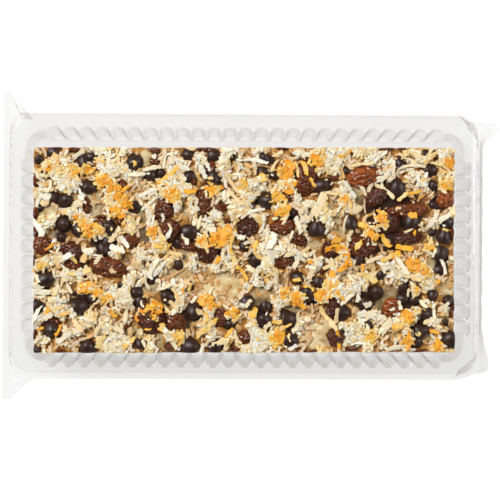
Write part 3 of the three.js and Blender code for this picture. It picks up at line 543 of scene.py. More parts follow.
def node_axes(name, thinnest_is_up):
    """A packed topping's middle, its three directions, its half sizes along them and its corners'
    places along them, from the spread of its corners. The third direction is the thin one; of a
    drop it points to the tip."""
    corners = from_row(np.unique(np.round(corners_of(frame["nodes"][name]), 3), axis=0))
    middle = (corners.max(0) + corners.min(0)) / 2 if thinnest_is_up else corners.mean(0)
    spread = corners - corners.mean(0)
    _, ways = np.linalg.eigh(spread.T @ spread)
    ways = ways.T[::-1]
    reach = spread @ ways[2]
    if thinnest_is_up:
        ways[2] *= np.sign(ways[2][2])
    elif reach.max() < -reach.min():
        ways[2] *= -1
    ways[1] = np.cross(ways[2], ways[0])
    along = spread @ ways.T
    return middle, ways, (along.max(0) - along.min(0)) / 2, along


# ---- materials --------------------------------------------------------------------------------


def add(tree, kind, inputs=None, stops=(), **settings):
    """Adds a node. Inputs are its sockets by name or number, each a value, a hex colour or another
    node's output. Stops are a ramp's places and colours. Settings are the node's own properties."""
    made = tree.nodes.new("ShaderNode" + kind)
    for key, value in settings.items():
        setattr(made, key, value)
    for key, value in (inputs or {}).items():
        if isinstance(value, bpy.types.NodeSocket):
            tree.links.new(value, made.inputs[key])
        else:
            made.inputs[key].default_value = linear(value) if isinstance(value, str) else value
    elements = made.color_ramp.elements if stops else ()
    while len(elements) < len(stops):
        elements.new(1)
    for element, (position, shade) in zip(elements, stops):
        element.position = position
        element.color = linear(shade)
    return made


def new_material(name, *layers):
    """An empty node material and its tree, and one output for each named layer of values that the
    mesh has at its points."""
    material = bpy.data.materials.new(name)
    material.use_nodes = True
    tree = material.node_tree
    tree.nodes.clear()
    values = [add(tree, "Attribute", attribute_name=layer).outputs["Fac"] for layer in layers]
    return material, tree, *values


def blobs(place, millimetres, detail=3.0, rough=0.55):
    """The inputs of a noise whose blobs are about that many millimetres across."""
    return {"Vector": place, "Scale": 1 / (millimetres * MM), "Detail": detail, "Roughness": rough}


def covered(tree, shade, *layers):
    """A colour under layers, each a share and a colour that takes that share of what is below."""
    for share, over in layers:
        mixed = {0: share, 6: shade, 7: over}
        shade = add(tree, "Mix", mixed, data_type="RGBA").outputs[2]
    return shade


def baked_coconut_mix(sizes):
    """Baked coconut mix under a set milk glaze: opaque cream crumb with shreds in it, smoother and
    shinier where the glaze pooled, brown where chocolate and raisins bled, dark with painted shade
    in the bare gaps between crowded toppings and round the drops, browner at its foot."""
    material, tree, pooled, stained_and_shaded, baked, cut = new_material(
        "baked_coconut_mix", "pooled", "stained_and_shaded", "baked", "cut"
    )
    place = add(tree, "TexCoord").outputs["Object"]
    # Shreds that the knife or the glaze left flush: cells 2.6 mm long and 1.1 mm wide.
    bent = add(tree, "Mapping", {"Vector": place, "Rotation": (0.3, 0.2, 0.7), "Scale": (1, 2.4, 1)})
    cells = add(tree, "TexVoronoi", {"Vector": bent.outputs[0], "Scale": 1 / (2.6 * MM)})
    mottle = add(tree, "TexNoise", blobs(place, 4.5)).outputs["Fac"]
    fine = add(tree, "TexNoise", blobs(place, 0.9, 2)).outputs["Fac"]
    crumb, ghosts, inside = (
        add(
            tree, "ValToRGB", {"Fac": cells.outputs["Color"]},
            ((0.2, shade_of(shade, darkest)), (0.8, shade_of(shade, palest))),
        ).outputs["Color"]
        for shade, darkest, palest in (
            (sizes.mix, 0.86, 1.08), (sizes.glaze, 0.93, 1.04), (sizes.cut, 0.82, 1.06),
        )
    )
    clouds = add(tree, "MapRange", {"Value": mottle, "From Min": 0.38, "From Max": 0.62}).outputs[0]
    glaze = covered(tree, linear(sizes.thin), (clouds, ghosts))
    # The stain layer is chocolate stain, and painted shade in the bare gaps and round the drops.
    shade = covered(
        tree, crumb, (pooled, glaze), (cut, inside), (stained_and_shaded, linear(sizes.stain_and_shade)),
        (baked, linear(sizes.bake)),
    )
    grain = {0: fine, 6: shade, 7: "#d8c49a"}
    shade = add(tree, "Mix", grain, data_type="RGBA", blend_type="SOFT_LIGHT").outputs[2]
    gloss = add(tree, "MapRange", {"Value": pooled, "To Min": 0.62, "To Max": 0.34}).outputs[0]
    height = add(tree, "Math", {0: cells.outputs["Distance"], 1: fine}, operation="ADD").outputs[0]
    still = add(tree, "MapRange", {"Value": pooled, "To Min": 0.6, "To Max": 0.06}).outputs[0]
    bump = add(tree, "Bump", {"Height": height, "Distance": 0.25 * MM, "Strength": still})
    surface = add(tree, "BsdfPrincipled", {
        "Base Color": shade, "Roughness": gloss, "Normal": bump.outputs[0], "IOR": 1.45,
        "Specular IOR Level": 0.3, "Subsurface Weight": 0.12, "Subsurface Radius": (1.0, 0.7, 0.4),
        "Subsurface Scale": 1.2 * MM,
    })
    add(tree, "OutputMaterial", {"Surface": surface.outputs[0]})
    return material


def dried_coconut(sizes):
    """Dried shredded coconut: pale, fatty and slightly clear flesh with a soft sheen, straw where
    glaze soaked it, and caramel under milk glaze and where it lies low, that caramel partly painted
    shade; it turns golden and then orange as it toasts."""
    material, tree, toast, milk_and_shade, soaked = new_material("dried_coconut", "toast", "milk_and_shade", "soaked")
    place = add(tree, "TexCoord").outputs["Object"]
    grain = add(tree, "TexNoise", blobs(place, 0.8, 2)).outputs["Fac"]
    warmer = add(tree, "MapRange", {"Value": grain, "To Min": -0.08, "To Max": 0.08}).outputs[0]
    level = add(tree, "Math", {0: toast, 1: warmer}, operation="ADD", use_clamp=True).outputs[0]
    browns = ((0.13, sizes.golden), (0.48, sizes.toasted), (0.85, sizes.dark))
    brown = add(tree, "ValToRGB", {"Fac": level}, browns).outputs["Color"]
    begun = add(tree, "MapRange", {"Value": level, "From Min": 0.04, "From Max": 0.3}).outputs[0]
    # The caramel over low strips stands for milk glaze and for painted shade.
    shade = covered(
        tree, linear(sizes.pale), (soaked, linear(sizes.straw)), (begun, brown), (milk_and_shade, "#c68b38")
    )
    bump = add(tree, "Bump", {"Height": grain, "Distance": 0.1 * MM, "Strength": 0.25})
    surface = add(tree, "BsdfPrincipled", {
        "Base Color": shade, "Roughness": 0.5, "Normal": bump.outputs[0], "IOR": 1.46,
        "Subsurface Weight": 0.4, "Subsurface Radius": (1.0, 0.72, 0.4),
        "Subsurface Scale": 0.9 * MM,
    })
    add(tree, "OutputMaterial", {"Surface": surface.outputs[0]})
    return material


def dark_chocolate(sizes):
    """Moulded dark chocolate: deep brown cocoa butter with a satin skin and clouds of paler bloom,
    duller where the bloom is."""
    material, tree = new_material("dark_chocolate")
    place = add(tree, "TexCoord").outputs["Object"]
    cloud = add(tree, "TexNoise", blobs(place, 3.2, 4)).outputs["Fac"]
    scuffs = add(tree, "TexNoise", blobs(place, 0.5)).outputs["Fac"]
    blooms = ((0.35, sizes.chocolate), (0.85, sizes.bloom))
    shade = add(tree, "ValToRGB", {"Fac": cloud}, blooms).outputs["Color"]
    gloss = add(tree, "MapRange", {"Value": cloud, "To Min": 0.34, "To Max": 0.5}).outputs[0]
    bump = add(tree, "Bump", {"Height": scuffs, "Distance": 0.04 * MM, "Strength": 0.2})
    surface = add(tree, "BsdfPrincipled", {
        "Base Color": shade, "Roughness": gloss, "Normal": bump.outputs[0], "IOR": 1.47,
    })
    add(tree, "OutputMaterial", {"Surface": surface.outputs[0]})
    return material


def raisin_skin(sizes):
    """A dried grape's skin: thin, sticky and clear brown over dark flesh, amber on the palest
    raisins, painted nearly black as shade in the folds, with small bright lights on its 1.7 mm wrinkles."""
    material, tree, fold, tone = new_material("raisin_skin", "fold", "tone")
    place = add(tree, "TexCoord").outputs["Object"]
    mottle = add(tree, "TexNoise", blobs(place, 2.2)).outputs["Fac"]
    wrinkles = add(tree, "TexNoise", blobs(place, 1.7, 0.6, 0.4)).outputs["Fac"]
    # The near-black in the folds and wrinkle hollows is painted shade.
    shade = covered(
        tree, linear(sizes.raisin), (tone, linear(sizes.amber)),
        (mottle, linear(shade_of(sizes.raisin, 0.55))), (fold, "#220f07"),
    )
    bump = add(tree, "Bump", {"Height": wrinkles, "Distance": 1.8 * MM, "Strength": 1.0})
    surface = add(tree, "BsdfPrincipled", {
        "Base Color": shade, "Roughness": 0.1, "Normal": bump.outputs[0], "IOR": 1.5,
    })
    add(tree, "OutputMaterial", {"Surface": surface.outputs[0]})
    return material


MIRRORED_EDGE_ON = 0.28  # share of the light that a clear sheet's face mirrors at a grazing angle


def clear_plastic(name, tint, edge_tint_and_shade, sharp, face_on, haze, gloss):
    """A thin clear sheet: what is behind shows through it with a faint tint, which deepens as the
    sheet turns edge on, the more suddenly the higher sharp is; that deepening is partly the longer
    path through the sheet and partly painted shade for the dark edges that refraction draws. Each
    face mirrors a share face_on of the light straight on and more edge on, by Schlick's rule, and a
    little haze lights it up."""
    material, tree = new_material(name)
    slant = add(tree, "LayerWeight", {"Blend": 0.5}).outputs["Facing"]
    steep = add(tree, "Math", {0: slant, 1: 5.0}, operation="POWER").outputs[0]
    mirrored = {"Value": steep, "To Min": face_on, "To Max": MIRRORED_EDGE_ON}
    mirror = add(tree, "MapRange", mirrored).outputs[0]
    # Edge-on darkening: partly absorption, partly painted shade.
    deep = add(tree, "Math", {0: slant, 1: sharp}, operation="POWER").outputs[0]
    colour_through = covered(tree, linear(tint), (deep, linear(edge_tint_and_shade)))
    through = add(tree, "BsdfTransparent", {"Color": colour_through}).outputs[0]
    shine = add(tree, "BsdfGlossy", {"Color": "#ffffff", "Roughness": gloss}).outputs[0]
    milk_and_shade_cover = add(tree, "BsdfDiffuse", {"Color": "#f4f3f1"}).outputs[0]
    body = add(tree, "MixShader", {0: haze, 1: through, 2: milk_and_shade_cover}).outputs[0]
    surface = add(tree, "MixShader", {0: mirror, 1: body, 2: shine}).outputs[0]
    add(tree, "OutputMaterial", {"Surface": surface})
    return material


def frosted_acrylic(sizes):
    """A frosted white acrylic table with soft light coming up through it and the faintest cloud."""
    material, tree = new_material("frosted_acrylic")
    place = add(tree, "TexCoord").outputs["Object"]
    cloud = add(tree, "TexNoise", blobs(place, 6)).outputs["Fac"]
    shades = ((0.3, shade_of(sizes.floor, 0.995)), (0.7, sizes.floor))
    shade = add(tree, "ValToRGB", {"Fac": cloud}, shades).outputs["Color"]
    light = {"Emission Color": "#ffffff", "Emission Strength": sizes.glow}
    surface = add(tree, "BsdfPrincipled", {"Base Color": shade, "Roughness": 0.8, **light})
    add(tree, "OutputMaterial", {"Surface": surface.outputs[0]})
    return material


# ---- slab -------------------------------------------------------------------------------------

STAIN_AND_SHADE_REACH = 5.5  # how far the stain and painted shade round a drop spread in the glaze
STAIN_AND_SHADE_MOST = 0.62
BAKED_FOOT = 4.5  # height of the browned foot


def crust(x, y, lumps):
    """Height of the slab's top: the swell, with lumps that fade out where glaze has pooled."""
    flat = np.stack([x, y], -1)
    rough = 1 - 0.8 * pool_depth(x, y)
    small = 0.6 * ripple(flat, 4.6, 11) + 0.4 * ripple(flat, 2.3, 12)
    return swell(x, y) + lumps * rough * small - 0.25 * pool_depth(x, y)


def rounded_in(points, half, corner):
    """Points of a rectangle drawn in so that its corners become arcs."""
    inner = half - corner
    near = np.clip(points, -inner, inner)
    away = points - near
    far = np.linalg.norm(away, axis=-1, keepdims=True)
    in_corner = (np.abs(points) > inner).all(-1, keepdims=True)
    pulled = near + away * np.minimum(1, corner / np.maximum(far, 1e-9))
    return np.where(in_corner, pulled, points)


def slab_surface(sizes):
    """The slab: a grid over the top, its border carried down the cut sides to a flat foot. The
    sides are pushed in and out by two ripples, for the torn crumb."""
    spacing = sizes.spacing / MM
    nx, ny = (2 * SLAB_HALF / spacing).astype(int)
    u, v = np.meshgrid(np.linspace(-1, 1, nx + 1), np.linspace(-1, 1, ny + 1))
    flat = rounded_in(np.stack([u, v], -1) * SLAB_HALF, SLAB_HALF, SLAB_CORNER)
    x, y = flat[..., 0], flat[..., 1]
    edge = np.maximum(np.abs(x) - SLAB_HALF[0], np.abs(y) - SLAB_HALF[1])
    z = crust(x, y, sizes.lumps / MM) - 0.5 * smooth(edge, -1.2, 0)
    top = np.concatenate([flat, z[..., None]], -1)
    index = np.arange(top.shape[0] * top.shape[1]).reshape(top.shape[:2])
    border = np.concatenate([index[0, :-1], index[:-1, -1], index[-1, :0:-1], index[:0:-1, 0]])
    rim = top.reshape(-1, 3)[border]
    away = rim[:, :2] - np.clip(rim[:, :2], -(SLAB_HALF - 3), SLAB_HALF - 3)
    away /= np.linalg.norm(away, axis=1)[:, None]
    down = np.linspace(0, 1, 30)[1:, None]
    side = np.concatenate(
        [np.broadcast_to(rim[:, :2], (len(down), len(rim), 2)),
         (rim[:, 2] + (SLAB_BASE - rim[:, 2]) * down)[..., None]], -1)
    torn = ripple(side, 3.4, 21) + 0.6 * ripple(side, 1.5, 22)
    inset = (sizes.crumb / MM) * (torn - 0.9) * smooth(down, 0, 0.08) * (1 - smooth(down, 0.97, 1))
    side[..., :2] += away * np.clip(inset, -1, 0)[..., None]
    points = np.concatenate([top.reshape(-1, 3), side.reshape(-1, 3)])
    start = top.shape[0] * top.shape[1]
    around = len(border)
    ring = np.arange(around)
    first = start + ring
    join = np.stack([border, first, np.roll(first, -1), np.roll(border, -1)], -1)
    faces = [
        rings_of(*top.shape[:2], closed=False),
        join,
        rings_of(len(down), around, start)[:, ::-1],
        (start + (len(down) - 1) * around + ring)[::-1][None],
    ]
    return points, faces


def stain_and_shade_at(points, places, reach):
    """How much the glaze is darkened round the chocolate drops, partly by their stain and partly by
    painted shade: the sum of a soft spot at each of the places, which are x, y and strength."""
    stain_and_shade = np.zeros(len(points))
    for x, y, strength in places:
        far = np.hypot(points[:, 0] - x, points[:, 1] - y)
        stain_and_shade += strength * np.exp(-((far / reach) ** 2))
    return np.clip(stain_and_shade, 0, 1)


class SLICE_OT_slab(bpy.types.Operator):
    """Makes the baked slab that stands for the plain one"""

    bl_idname = "slice.slab"
    bl_label = "Slab"

    def execute(self, context):
        sizes = context.scene.slice_slab
        points, faces = slab_surface(sizes)
        on_side = smooth(SLAB_TOP - points[:, 2], 1.5, 3)
        rng = np.random.default_rng(5)
        drops = [(*node_axes(name, False)[0][:2], rng.uniform(0.2, 0.8)) for name in DROP_NODES]
        drops += [(x, y, rng.uniform(0.2, 0.7)) for x, y, *_ in SMALL_DROPS]
        x, y = points[:, 0], points[:, 1]
        # The glaze's darkening: chocolate stain in the pools, and painted shade in the bare gaps and
        # round the drops.
        stain_and_shade = np.maximum(stain_and_gap_shade(x, y), STAIN_AND_SHADE_MOST * stain_and_shade_at(points, drops, STAIN_AND_SHADE_REACH))
        layers = {
            "pooled": pool_depth(x, y) * (1 - on_side),
            "stained_and_shaded": stain_and_shade * (1 - on_side),
            "baked": smooth(SLAB_BASE + BAKED_FOOT - points[:, 2], 0, BAKED_FOOT) * 0.8,
            "cut": on_side,
        }
        material = baked_coconut_mix(sizes)
        made = make_mesh("baked_slab", to_row(points), faces, material, flat=(3,), layers=layers)
        carried(made, "slice")
        return {"FINISHED"}


def stood_up(points, side):
    """Points laid out flat as along, up and out, stood against the cut sides. The sides count from
    the front anticlockwise; side is one number, or one for each point."""
    ways = SIDES[side]
    c, s = ways[..., 0], ways[..., 1]
    out = np.where(np.asarray(side) % 2 == 0, SLAB_HALF[1], SLAB_HALF[0]) + points[:, 2]
    x = points[:, 0] * c + out * s
    y = points[:, 0] * s - out * c
    return np.stack([x, y, np.maximum(points[:, 1], SLAB_BASE + 0.05)], -1)


def side_places(rng, count, low, high):
    """Random places on the cut sides: the side, the place along it and the height, with as many on
    each side as its length is worth."""
    longer = SLAB_HALF[0] / SLAB_HALF.sum()
    side = 2 * rng.integers(0, 2, count) + (rng.random(count) > longer)
    reach = np.where(side % 2 == 0, SLAB_HALF[0], SLAB_HALF[1]) - 4
    return side, rng.uniform(-1, 1, count) * reach, rng.uniform(low, high, count)


def cut_through(body, rng, size, side, along, height):
    """A body of some size that was baked in at any angle and that the knife cut off flat."""
    points, faces = body
    lean = rng.normal(size=3)
    placed = turned(points - points.mean(0), rng.normal(size=3), lean, np.zeros(3))
    placed += [along, height, -rng.uniform(0, 0.35) * size]
    return within_cut(stood_up(placed, side), 0.12), faces


# ---- chocolate drops --------------------------------------------------------------------------

DROP_TALL = 0.72  # a drop's height as a share of its width
PACKED_DROP_WIDE = 0.86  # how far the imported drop's corners reach, as a share of the radius


def drop_body(radius, height, rng, rings=20, around=36):
    """A chocolate drop on its base at the origin, tip up. Its radius at a share s of its height is
    R (1 - s^1.9)^0.62, drawn in at the foot; it is a little oval, and its tip leans over."""
    s = np.linspace(0, 1, rings + 1)[:-1] ** 1.15
    profile = (1 - s**1.9) ** 0.62 * (1 - 0.1 * np.exp(-s / 0.04))
    turn = np.linspace(0, 2 * np.pi, around, endpoint=False)
    a, b, way = rng.uniform(0, 2 * np.pi, 3)
    oval = 1 + 0.03 * np.sin(2 * turn + a) + 0.02 * np.sin(3 * turn + b)
    r = radius * profile[:, None] * oval
    lean = radius * rng.uniform(0.02, 0.16) * s[:, None] ** 2
    wall = np.stack(
        [r * np.cos(turn) + lean * math.cos(way), r * np.sin(turn) + lean * math.sin(way),
         np.broadcast_to(height * s[:, None], r.shape)], -1)
    foot = wall[:1] * [[[0.6, 0.6, 1]]] + [[[0, 0, 0.03 * height]]]
    tip = wall[-1].mean(0) + [0, 0, height * (1 - s[-1]) * 0.6]
    return capped(np.concatenate([foot, wall]), foot[0].mean(0), tip)


def turned(points, x_way, z_way, at):
    """Points turned so that their z axis points along z_way, and moved to a place."""
    z_way = z_way / np.linalg.norm(z_way)
    x_way = x_way - z_way * (x_way @ z_way)
    x_way = x_way / np.linalg.norm(x_way)
    return points @ np.stack([x_way, np.cross(z_way, x_way), z_way]) + at


def node_drop(name, rng):
    """A drop as smooth as the real one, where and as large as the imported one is."""
    middle, ways, _, along = node_axes(name, False)
    low, high = along[:, 2].min(), along[:, 2].max()
    radius = np.hypot(along[:, 0], along[:, 1]).max() / PACKED_DROP_WIDE
    points, faces = drop_body(radius, high - low, rng)
    return within_cut(turned(points, ways[0], ways[2], middle + ways[2] * low)), faces


def small_drop(row, rng):
    """A drop that is half sunk in the mix. It leans over as far as what shows of it is oval."""
    x, y, wide, high = row
    size = max(wide, high, 4.0) * rng.uniform(0.95, 1.1)
    lean = math.acos(min(1, min(wide, high) / max(wide, high)) * 0.9) * rng.choice([-1, 1])
    across = np.array([1.0, 0, 0]) if wide < high else np.array([0, 1.0, 0])
    tip = across * math.sin(lean) + np.array([0, 0, math.cos(lean)])
    tip[:2] += rng.normal(0, 0.15, 2)
    points, faces = drop_body(size / 2, size * DROP_TALL, rng, rings=14, around=28)
    at = np.array([x, y, swell(x, y) - size * rng.uniform(0.2, 0.42)])
    placed = turned(points, np.array([0.3, 1, 0.1]), tip, at)
    placed[:, :2] += np.array([x, y]) - (placed[:, :2].max(0) + placed[:, :2].min(0)) / 2
    return within_cut(placed), faces


class SLICE_OT_drops(bpy.types.Operator):
    """Makes the chocolate drops"""

    bl_idname = "slice.drops"
    bl_label = "Chocolate drops"

    def execute(self, context):
        material = dark_chocolate(context.scene.slice_toppings)
        rng = np.random.default_rng(31)

        def make_drops(name, bodies, node=None):
            points, faces = merged(bodies)
            carried(make_mesh(name, to_row(points), faces, material), node)

        for name in DROP_NODES:
            make_drops(name.replace("chip", "drop"), [node_drop(name, rng)], name)
        make_drops("small_drops", [small_drop(row, rng) for row in SMALL_DROPS])
        count = context.scene.slice_slab.cut_drops
        bodies = []
        for side, along, height in zip(*side_places(rng, count, SLAB_BASE + 3, SLAB_TOP - 5)):
            size = rng.uniform(5.5, 8)
            body = drop_body(size / 2, size * DROP_TALL, rng, rings=10, around=24)
            bodies.append(cut_through(body, rng, size, side, along, height))
        make_drops("cut_drops", bodies)
        return {"FINISHED"}


# ---- raisins ----------------------------------------------------------------------------------

UNSHRUNK = np.array([1.03, 1.06, 1.12])  # makes up for what the folds draw in, along each axis

# How far some raisins are amber, from 0 to 1. The others are amber up to 0.45 at random.
AMBER_RAISINS = {
    "raisin_02": 1.0, "raisin_26": 0.9, "raisin_06": 0.95, "raisin_12": 0.4, "raisin_03": 0.25,
}
SUNK_AMBER = 0.35  # of the smaller raisins
CUT_AMBER = 0.25  # of those at the cut sides


def raisin_body(half, fold, rng, rings=46, around=72):
    """A raisin about the origin, its length along x. It is a squashed ball, drawn in along folds
    that run from end to end and wander, with finer creases across them; also returns how deep in
    a fold each point lies. Every ripple's length is a share of the raisin's half length."""
    lat = np.linspace(0, np.pi, rings + 2)[1:-1][:, None]
    lon = np.linspace(0, 2 * np.pi, around, endpoint=False)[None]
    ball = np.stack([-np.cos(lat) + 0 * lon, np.sin(lat) * np.cos(lon), np.sin(lat) * np.sin(lon)], -1)
    seed = int(rng.integers(1 << 30))
    wander = 0.55 * ripple(ball, 1.6, seed) + 0.25 * ripple(ball, 0.7, seed + 1)
    count = rng.integers(5, 8)
    main = np.abs(np.sin(count * lon / 2 + wander * 2.2))
    minor = np.abs(np.sin(ripple(ball * [1, 2.2, 2.2], 0.8, seed + 2) * 2.6))
    creases = (0.7 * (1 - main) ** 1.5 + 0.5 * (1 - minor) ** 2) * np.sin(lat) ** 0.5
    dents = 0.12 * ripple(ball, 2.2, seed + 3)
    long = ball * [1.0, half[1] / half[0], half[2] / half[0]]
    wrinkles = np.abs(ripple(long, 3.4 / half[0], seed + 4)) ** 0.7
    shrink = 1 - fold * creases * 1.3 + (dents - 0.1 + 0.16 * wrinkles * fold / 0.15) * np.sin(lat)
    rings_at = ball * half * shrink[..., None]
    ends = np.array([[-1.0, 0, 0], [1.0, 0, 0]]) * half * 0.97
    points, faces = capped(rings_at, ends[0], ends[1])
    # How deep in a fold or wrinkle hollow each point lies, for the skin's painted shade.
    deep = np.clip(0.7 * creases + 0.8 * (0.45 - wrinkles), 0, 1)
    deep = np.concatenate([deep.ravel(), [0.5, 0.5]])
    return points, faces, deep


def node_raisin(name, sizes, rng):
    """A wrinkled raisin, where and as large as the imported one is."""
    middle, ways, half, _ = node_axes(name, True)
    points, faces, deep = raisin_body(half * UNSHRUNK, sizes.fold, rng)
    return within_cut(points @ ways + middle), faces, deep


def small_raisin(row, sizes, rng):
    """A raisin that is half sunk in the mix."""
    x, y, wide, high = row
    half = np.array([max(wide, high), min(wide, high) * 1.1, 5.0]) / 2
    turn = rng.normal(0, 0.15) + (0 if wide > high else math.pi / 2)
    points, faces, deep = raisin_body(half, sizes.fold, rng, rings=30, around=48)
    at = np.array([x, y, swell(x, y) + rng.uniform(-0.6, 0.5)])
    return within_cut(points @ turning(turn) + at), faces, deep


class SLICE_OT_raisins(bpy.types.Operator):
    """Makes the raisins"""

    bl_idname = "slice.raisins"
    bl_label = "Raisins"

    def execute(self, context):
        sizes = context.scene.slice_toppings
        material = raisin_skin(sizes)
        rng = np.random.default_rng(41)

        def make_raisins(name, bodies, amber, node=None):
            points, faces = merged([body[:2] for body in bodies])
            layers = {"fold": np.concatenate([body[2] for body in bodies])}
            layers["tone"] = np.full(len(points), amber)
            made = make_mesh(name, to_row(points), faces, material, layers=layers)
            carried(made, node)

        for name in RAISIN_NODES:
            body = node_raisin(name, sizes, rng)
            amber = AMBER_RAISINS.get(name, 0.45 * rng.random() ** 1.5)
            make_raisins(name.replace("raisin", "dried_grape"), [body], amber, name)
        small = [small_raisin(row, sizes, rng) for row in SMALL_RAISINS]
        make_raisins("small_raisins", small, SUNK_AMBER)
        count = context.scene.slice_slab.cut_raisins
        bodies = []
        for side, along, height in zip(*side_places(rng, count, SLAB_BASE + 3, SLAB_TOP - 5)):
            half = np.array([rng.uniform(4.5, 7), rng.uniform(3, 4), rng.uniform(2.2, 3)])
            points, faces, deep = raisin_body(half, sizes.fold, rng, rings=22, around=36)
            cut = cut_through((points, faces), rng, 6, side, along, height)
            bodies.append((*cut, deep))
        make_raisins("cut_raisins", bodies, CUT_AMBER)
        return {"FINISHED"}


# ---- coconut ----------------------------------------------------------------------------------

CELL = 0.5  # of the map of heights that the coconut settles on
STANDS_OUT = 0.3  # how far over the mix a topping shows, and how far coconut may lie over it

# A shred's six-sided section, as shares of its half width and half thickness.
SECTION = np.array([(1, 0), (0.7, 1), (-0.7, 1), (-1, 0), (-0.7, -1), (0.7, -1)])


class Ground:
    """A map of heights over the slab. It rises as coconut settles on it, but not past the most."""

    def __init__(self, pile):
        self.count = (2 * SLAB_HALF / CELL).astype(int)
        x = (np.arange(self.count[0]) + 0.5) * CELL - SLAB_HALF[0]
        y = (np.arange(self.count[1]) + 0.5) * CELL - SLAB_HALF[1]
        self.x, self.y = np.meshgrid(x, y)
        self.mix = swell(self.x, self.y)
        self.height = self.mix.copy()
        self.most = self.mix + pile
        self.topping = np.zeros(self.mix.shape, bool)

    def cells(self, x, y):
        """Row and column of the cell that each place is in."""
        column = np.clip(((x + SLAB_HALF[0]) / CELL).astype(int), 0, self.count[0] - 1)
        row = np.clip(((y + SLAB_HALF[1]) / CELL).astype(int), 0, self.count[1] - 1)
        return row, column

    def raise_by(self, points):
        """Lifts the map to the points of a topping that stand above it."""
        row, column = self.cells(points[:, 0], points[:, 1])
        np.maximum.at(self.height, (row, column), points[:, 2])
        self.topping = self.height > self.mix + STANDS_OUT
        self.most = np.maximum(self.most, self.height + STANDS_OUT)

    def under(self, lot):
        """The cells under each strip, and how far along it each of them is."""
        s = np.linspace(-0.45, 0.45, 9)[:, None, None] * lot["length"]
        t = np.array([-0.35, 0, 0.35])[None, :, None] * lot["width"]
        s, t = np.broadcast_arrays(s, t)
        c, w = np.cos(lot["turn"]), np.sin(lot["turn"])
        rows, columns = self.cells(lot["x"] + s * c - t * w, lot["y"] + s * w + t * c)
        return [part.reshape(-1, len(c)).T for part in (rows, columns, s)]

    def settle(self, lot, steepest=0.55, soft=0.45):
        """Lays strips down one after another. Each tilts with the ground under it, rests between
        the mean and the highest point there, sinks in by a share of its thickness, and then
        counts as ground itself. Their heights and slopes are added to the lot."""
        rows, columns, s = self.under(lot)
        z = np.empty(len(rows))
        slope = np.empty(len(rows))
        for i in range(len(rows)):
            under = self.height[rows[i], columns[i]]
            tilt = (under * s[i]).sum() / (s[i] ** 2).sum()
            slope[i] = min(max(tilt, -steepest), steepest)
            left = under - slope[i] * s[i]
            mean = left.mean()
            thick = lot["thickness"][i]
            z[i] = mean + soft * (left.max() - mean) + thick * (0.5 - lot["sink"][i])
            z[i] = min(z[i], self.most[rows[i], columns[i]].mean())
            top = z[i] + slope[i] * s[i] + thick / 2
            most = self.most[rows[i], columns[i]]
            self.height[rows[i], columns[i]] = np.maximum(under, np.minimum(top, most))
        return {**lot, "z": z, "slope": slope}


def lot_of(
    rng, sizes, x, y, scale=1.0, wide=1.0, thick=1.0, curl=0.75, bow=0.05, roll=0.2, sink=0.3
):
    """A lot of strips at places x, y, with sizes and bends drawn at random about their means."""
    count = len(x)
    lengths = rng.lognormal(math.log(scale * sizes.length / MM), 0.32, count)
    return {
        "x": x,
        "y": y,
        "turn": rng.uniform(0, 2 * np.pi, count),
        "length": np.clip(lengths, 0.9, 10.5),
        "width": wide * sizes.width / MM * rng.uniform(0.7, 1.3, count),
        "thickness": thick * sizes.thickness / MM * rng.uniform(0.7, 1.3, count),
        "curl": rng.normal(0, curl, count),
        "bow": rng.normal(0.02, bow, count),
        "roll": rng.normal(0, roll, count),
        "sink": rng.uniform(sink - 0.2, sink + 0.2, count),
    }


def chosen(lot, kept):
    """The strips of a lot that a mask or a list of places keeps."""
    return {key: values[kept] for key, values in lot.items()}


def joined(*lots):
    """Several lots as one."""
    return {key: np.concatenate([lot[key] for lot in lots]) for key in lots[0]}


def scattered(rng, ground, count, chance, sizes, over=0.0, **shape):
    """A lot of strips at random places, each kept with the chance that the map gives for its
    middle. Those that would lie over a topping are kept only with the chance over."""
    kept = []
    while sum(len(lot["x"]) for lot in kept) < count:
        x = rng.uniform(-SLAB_HALF[0], SLAB_HALF[0], count)
        y = rng.uniform(-SLAB_HALF[1], SLAB_HALF[1], count)
        keep = rng.random(count) < chance[ground.cells(x, y)]
        lot = lot_of(rng, sizes, x[keep], y[keep], **shape)
        rows, columns, _ = ground.under(lot)
        covers = ground.topping[rows, columns].mean(1) > 0.15
        kept.append(chosen(lot, ~covers | (rng.random(len(covers)) < over)))
    return chosen(joined(*kept), slice(0, count))


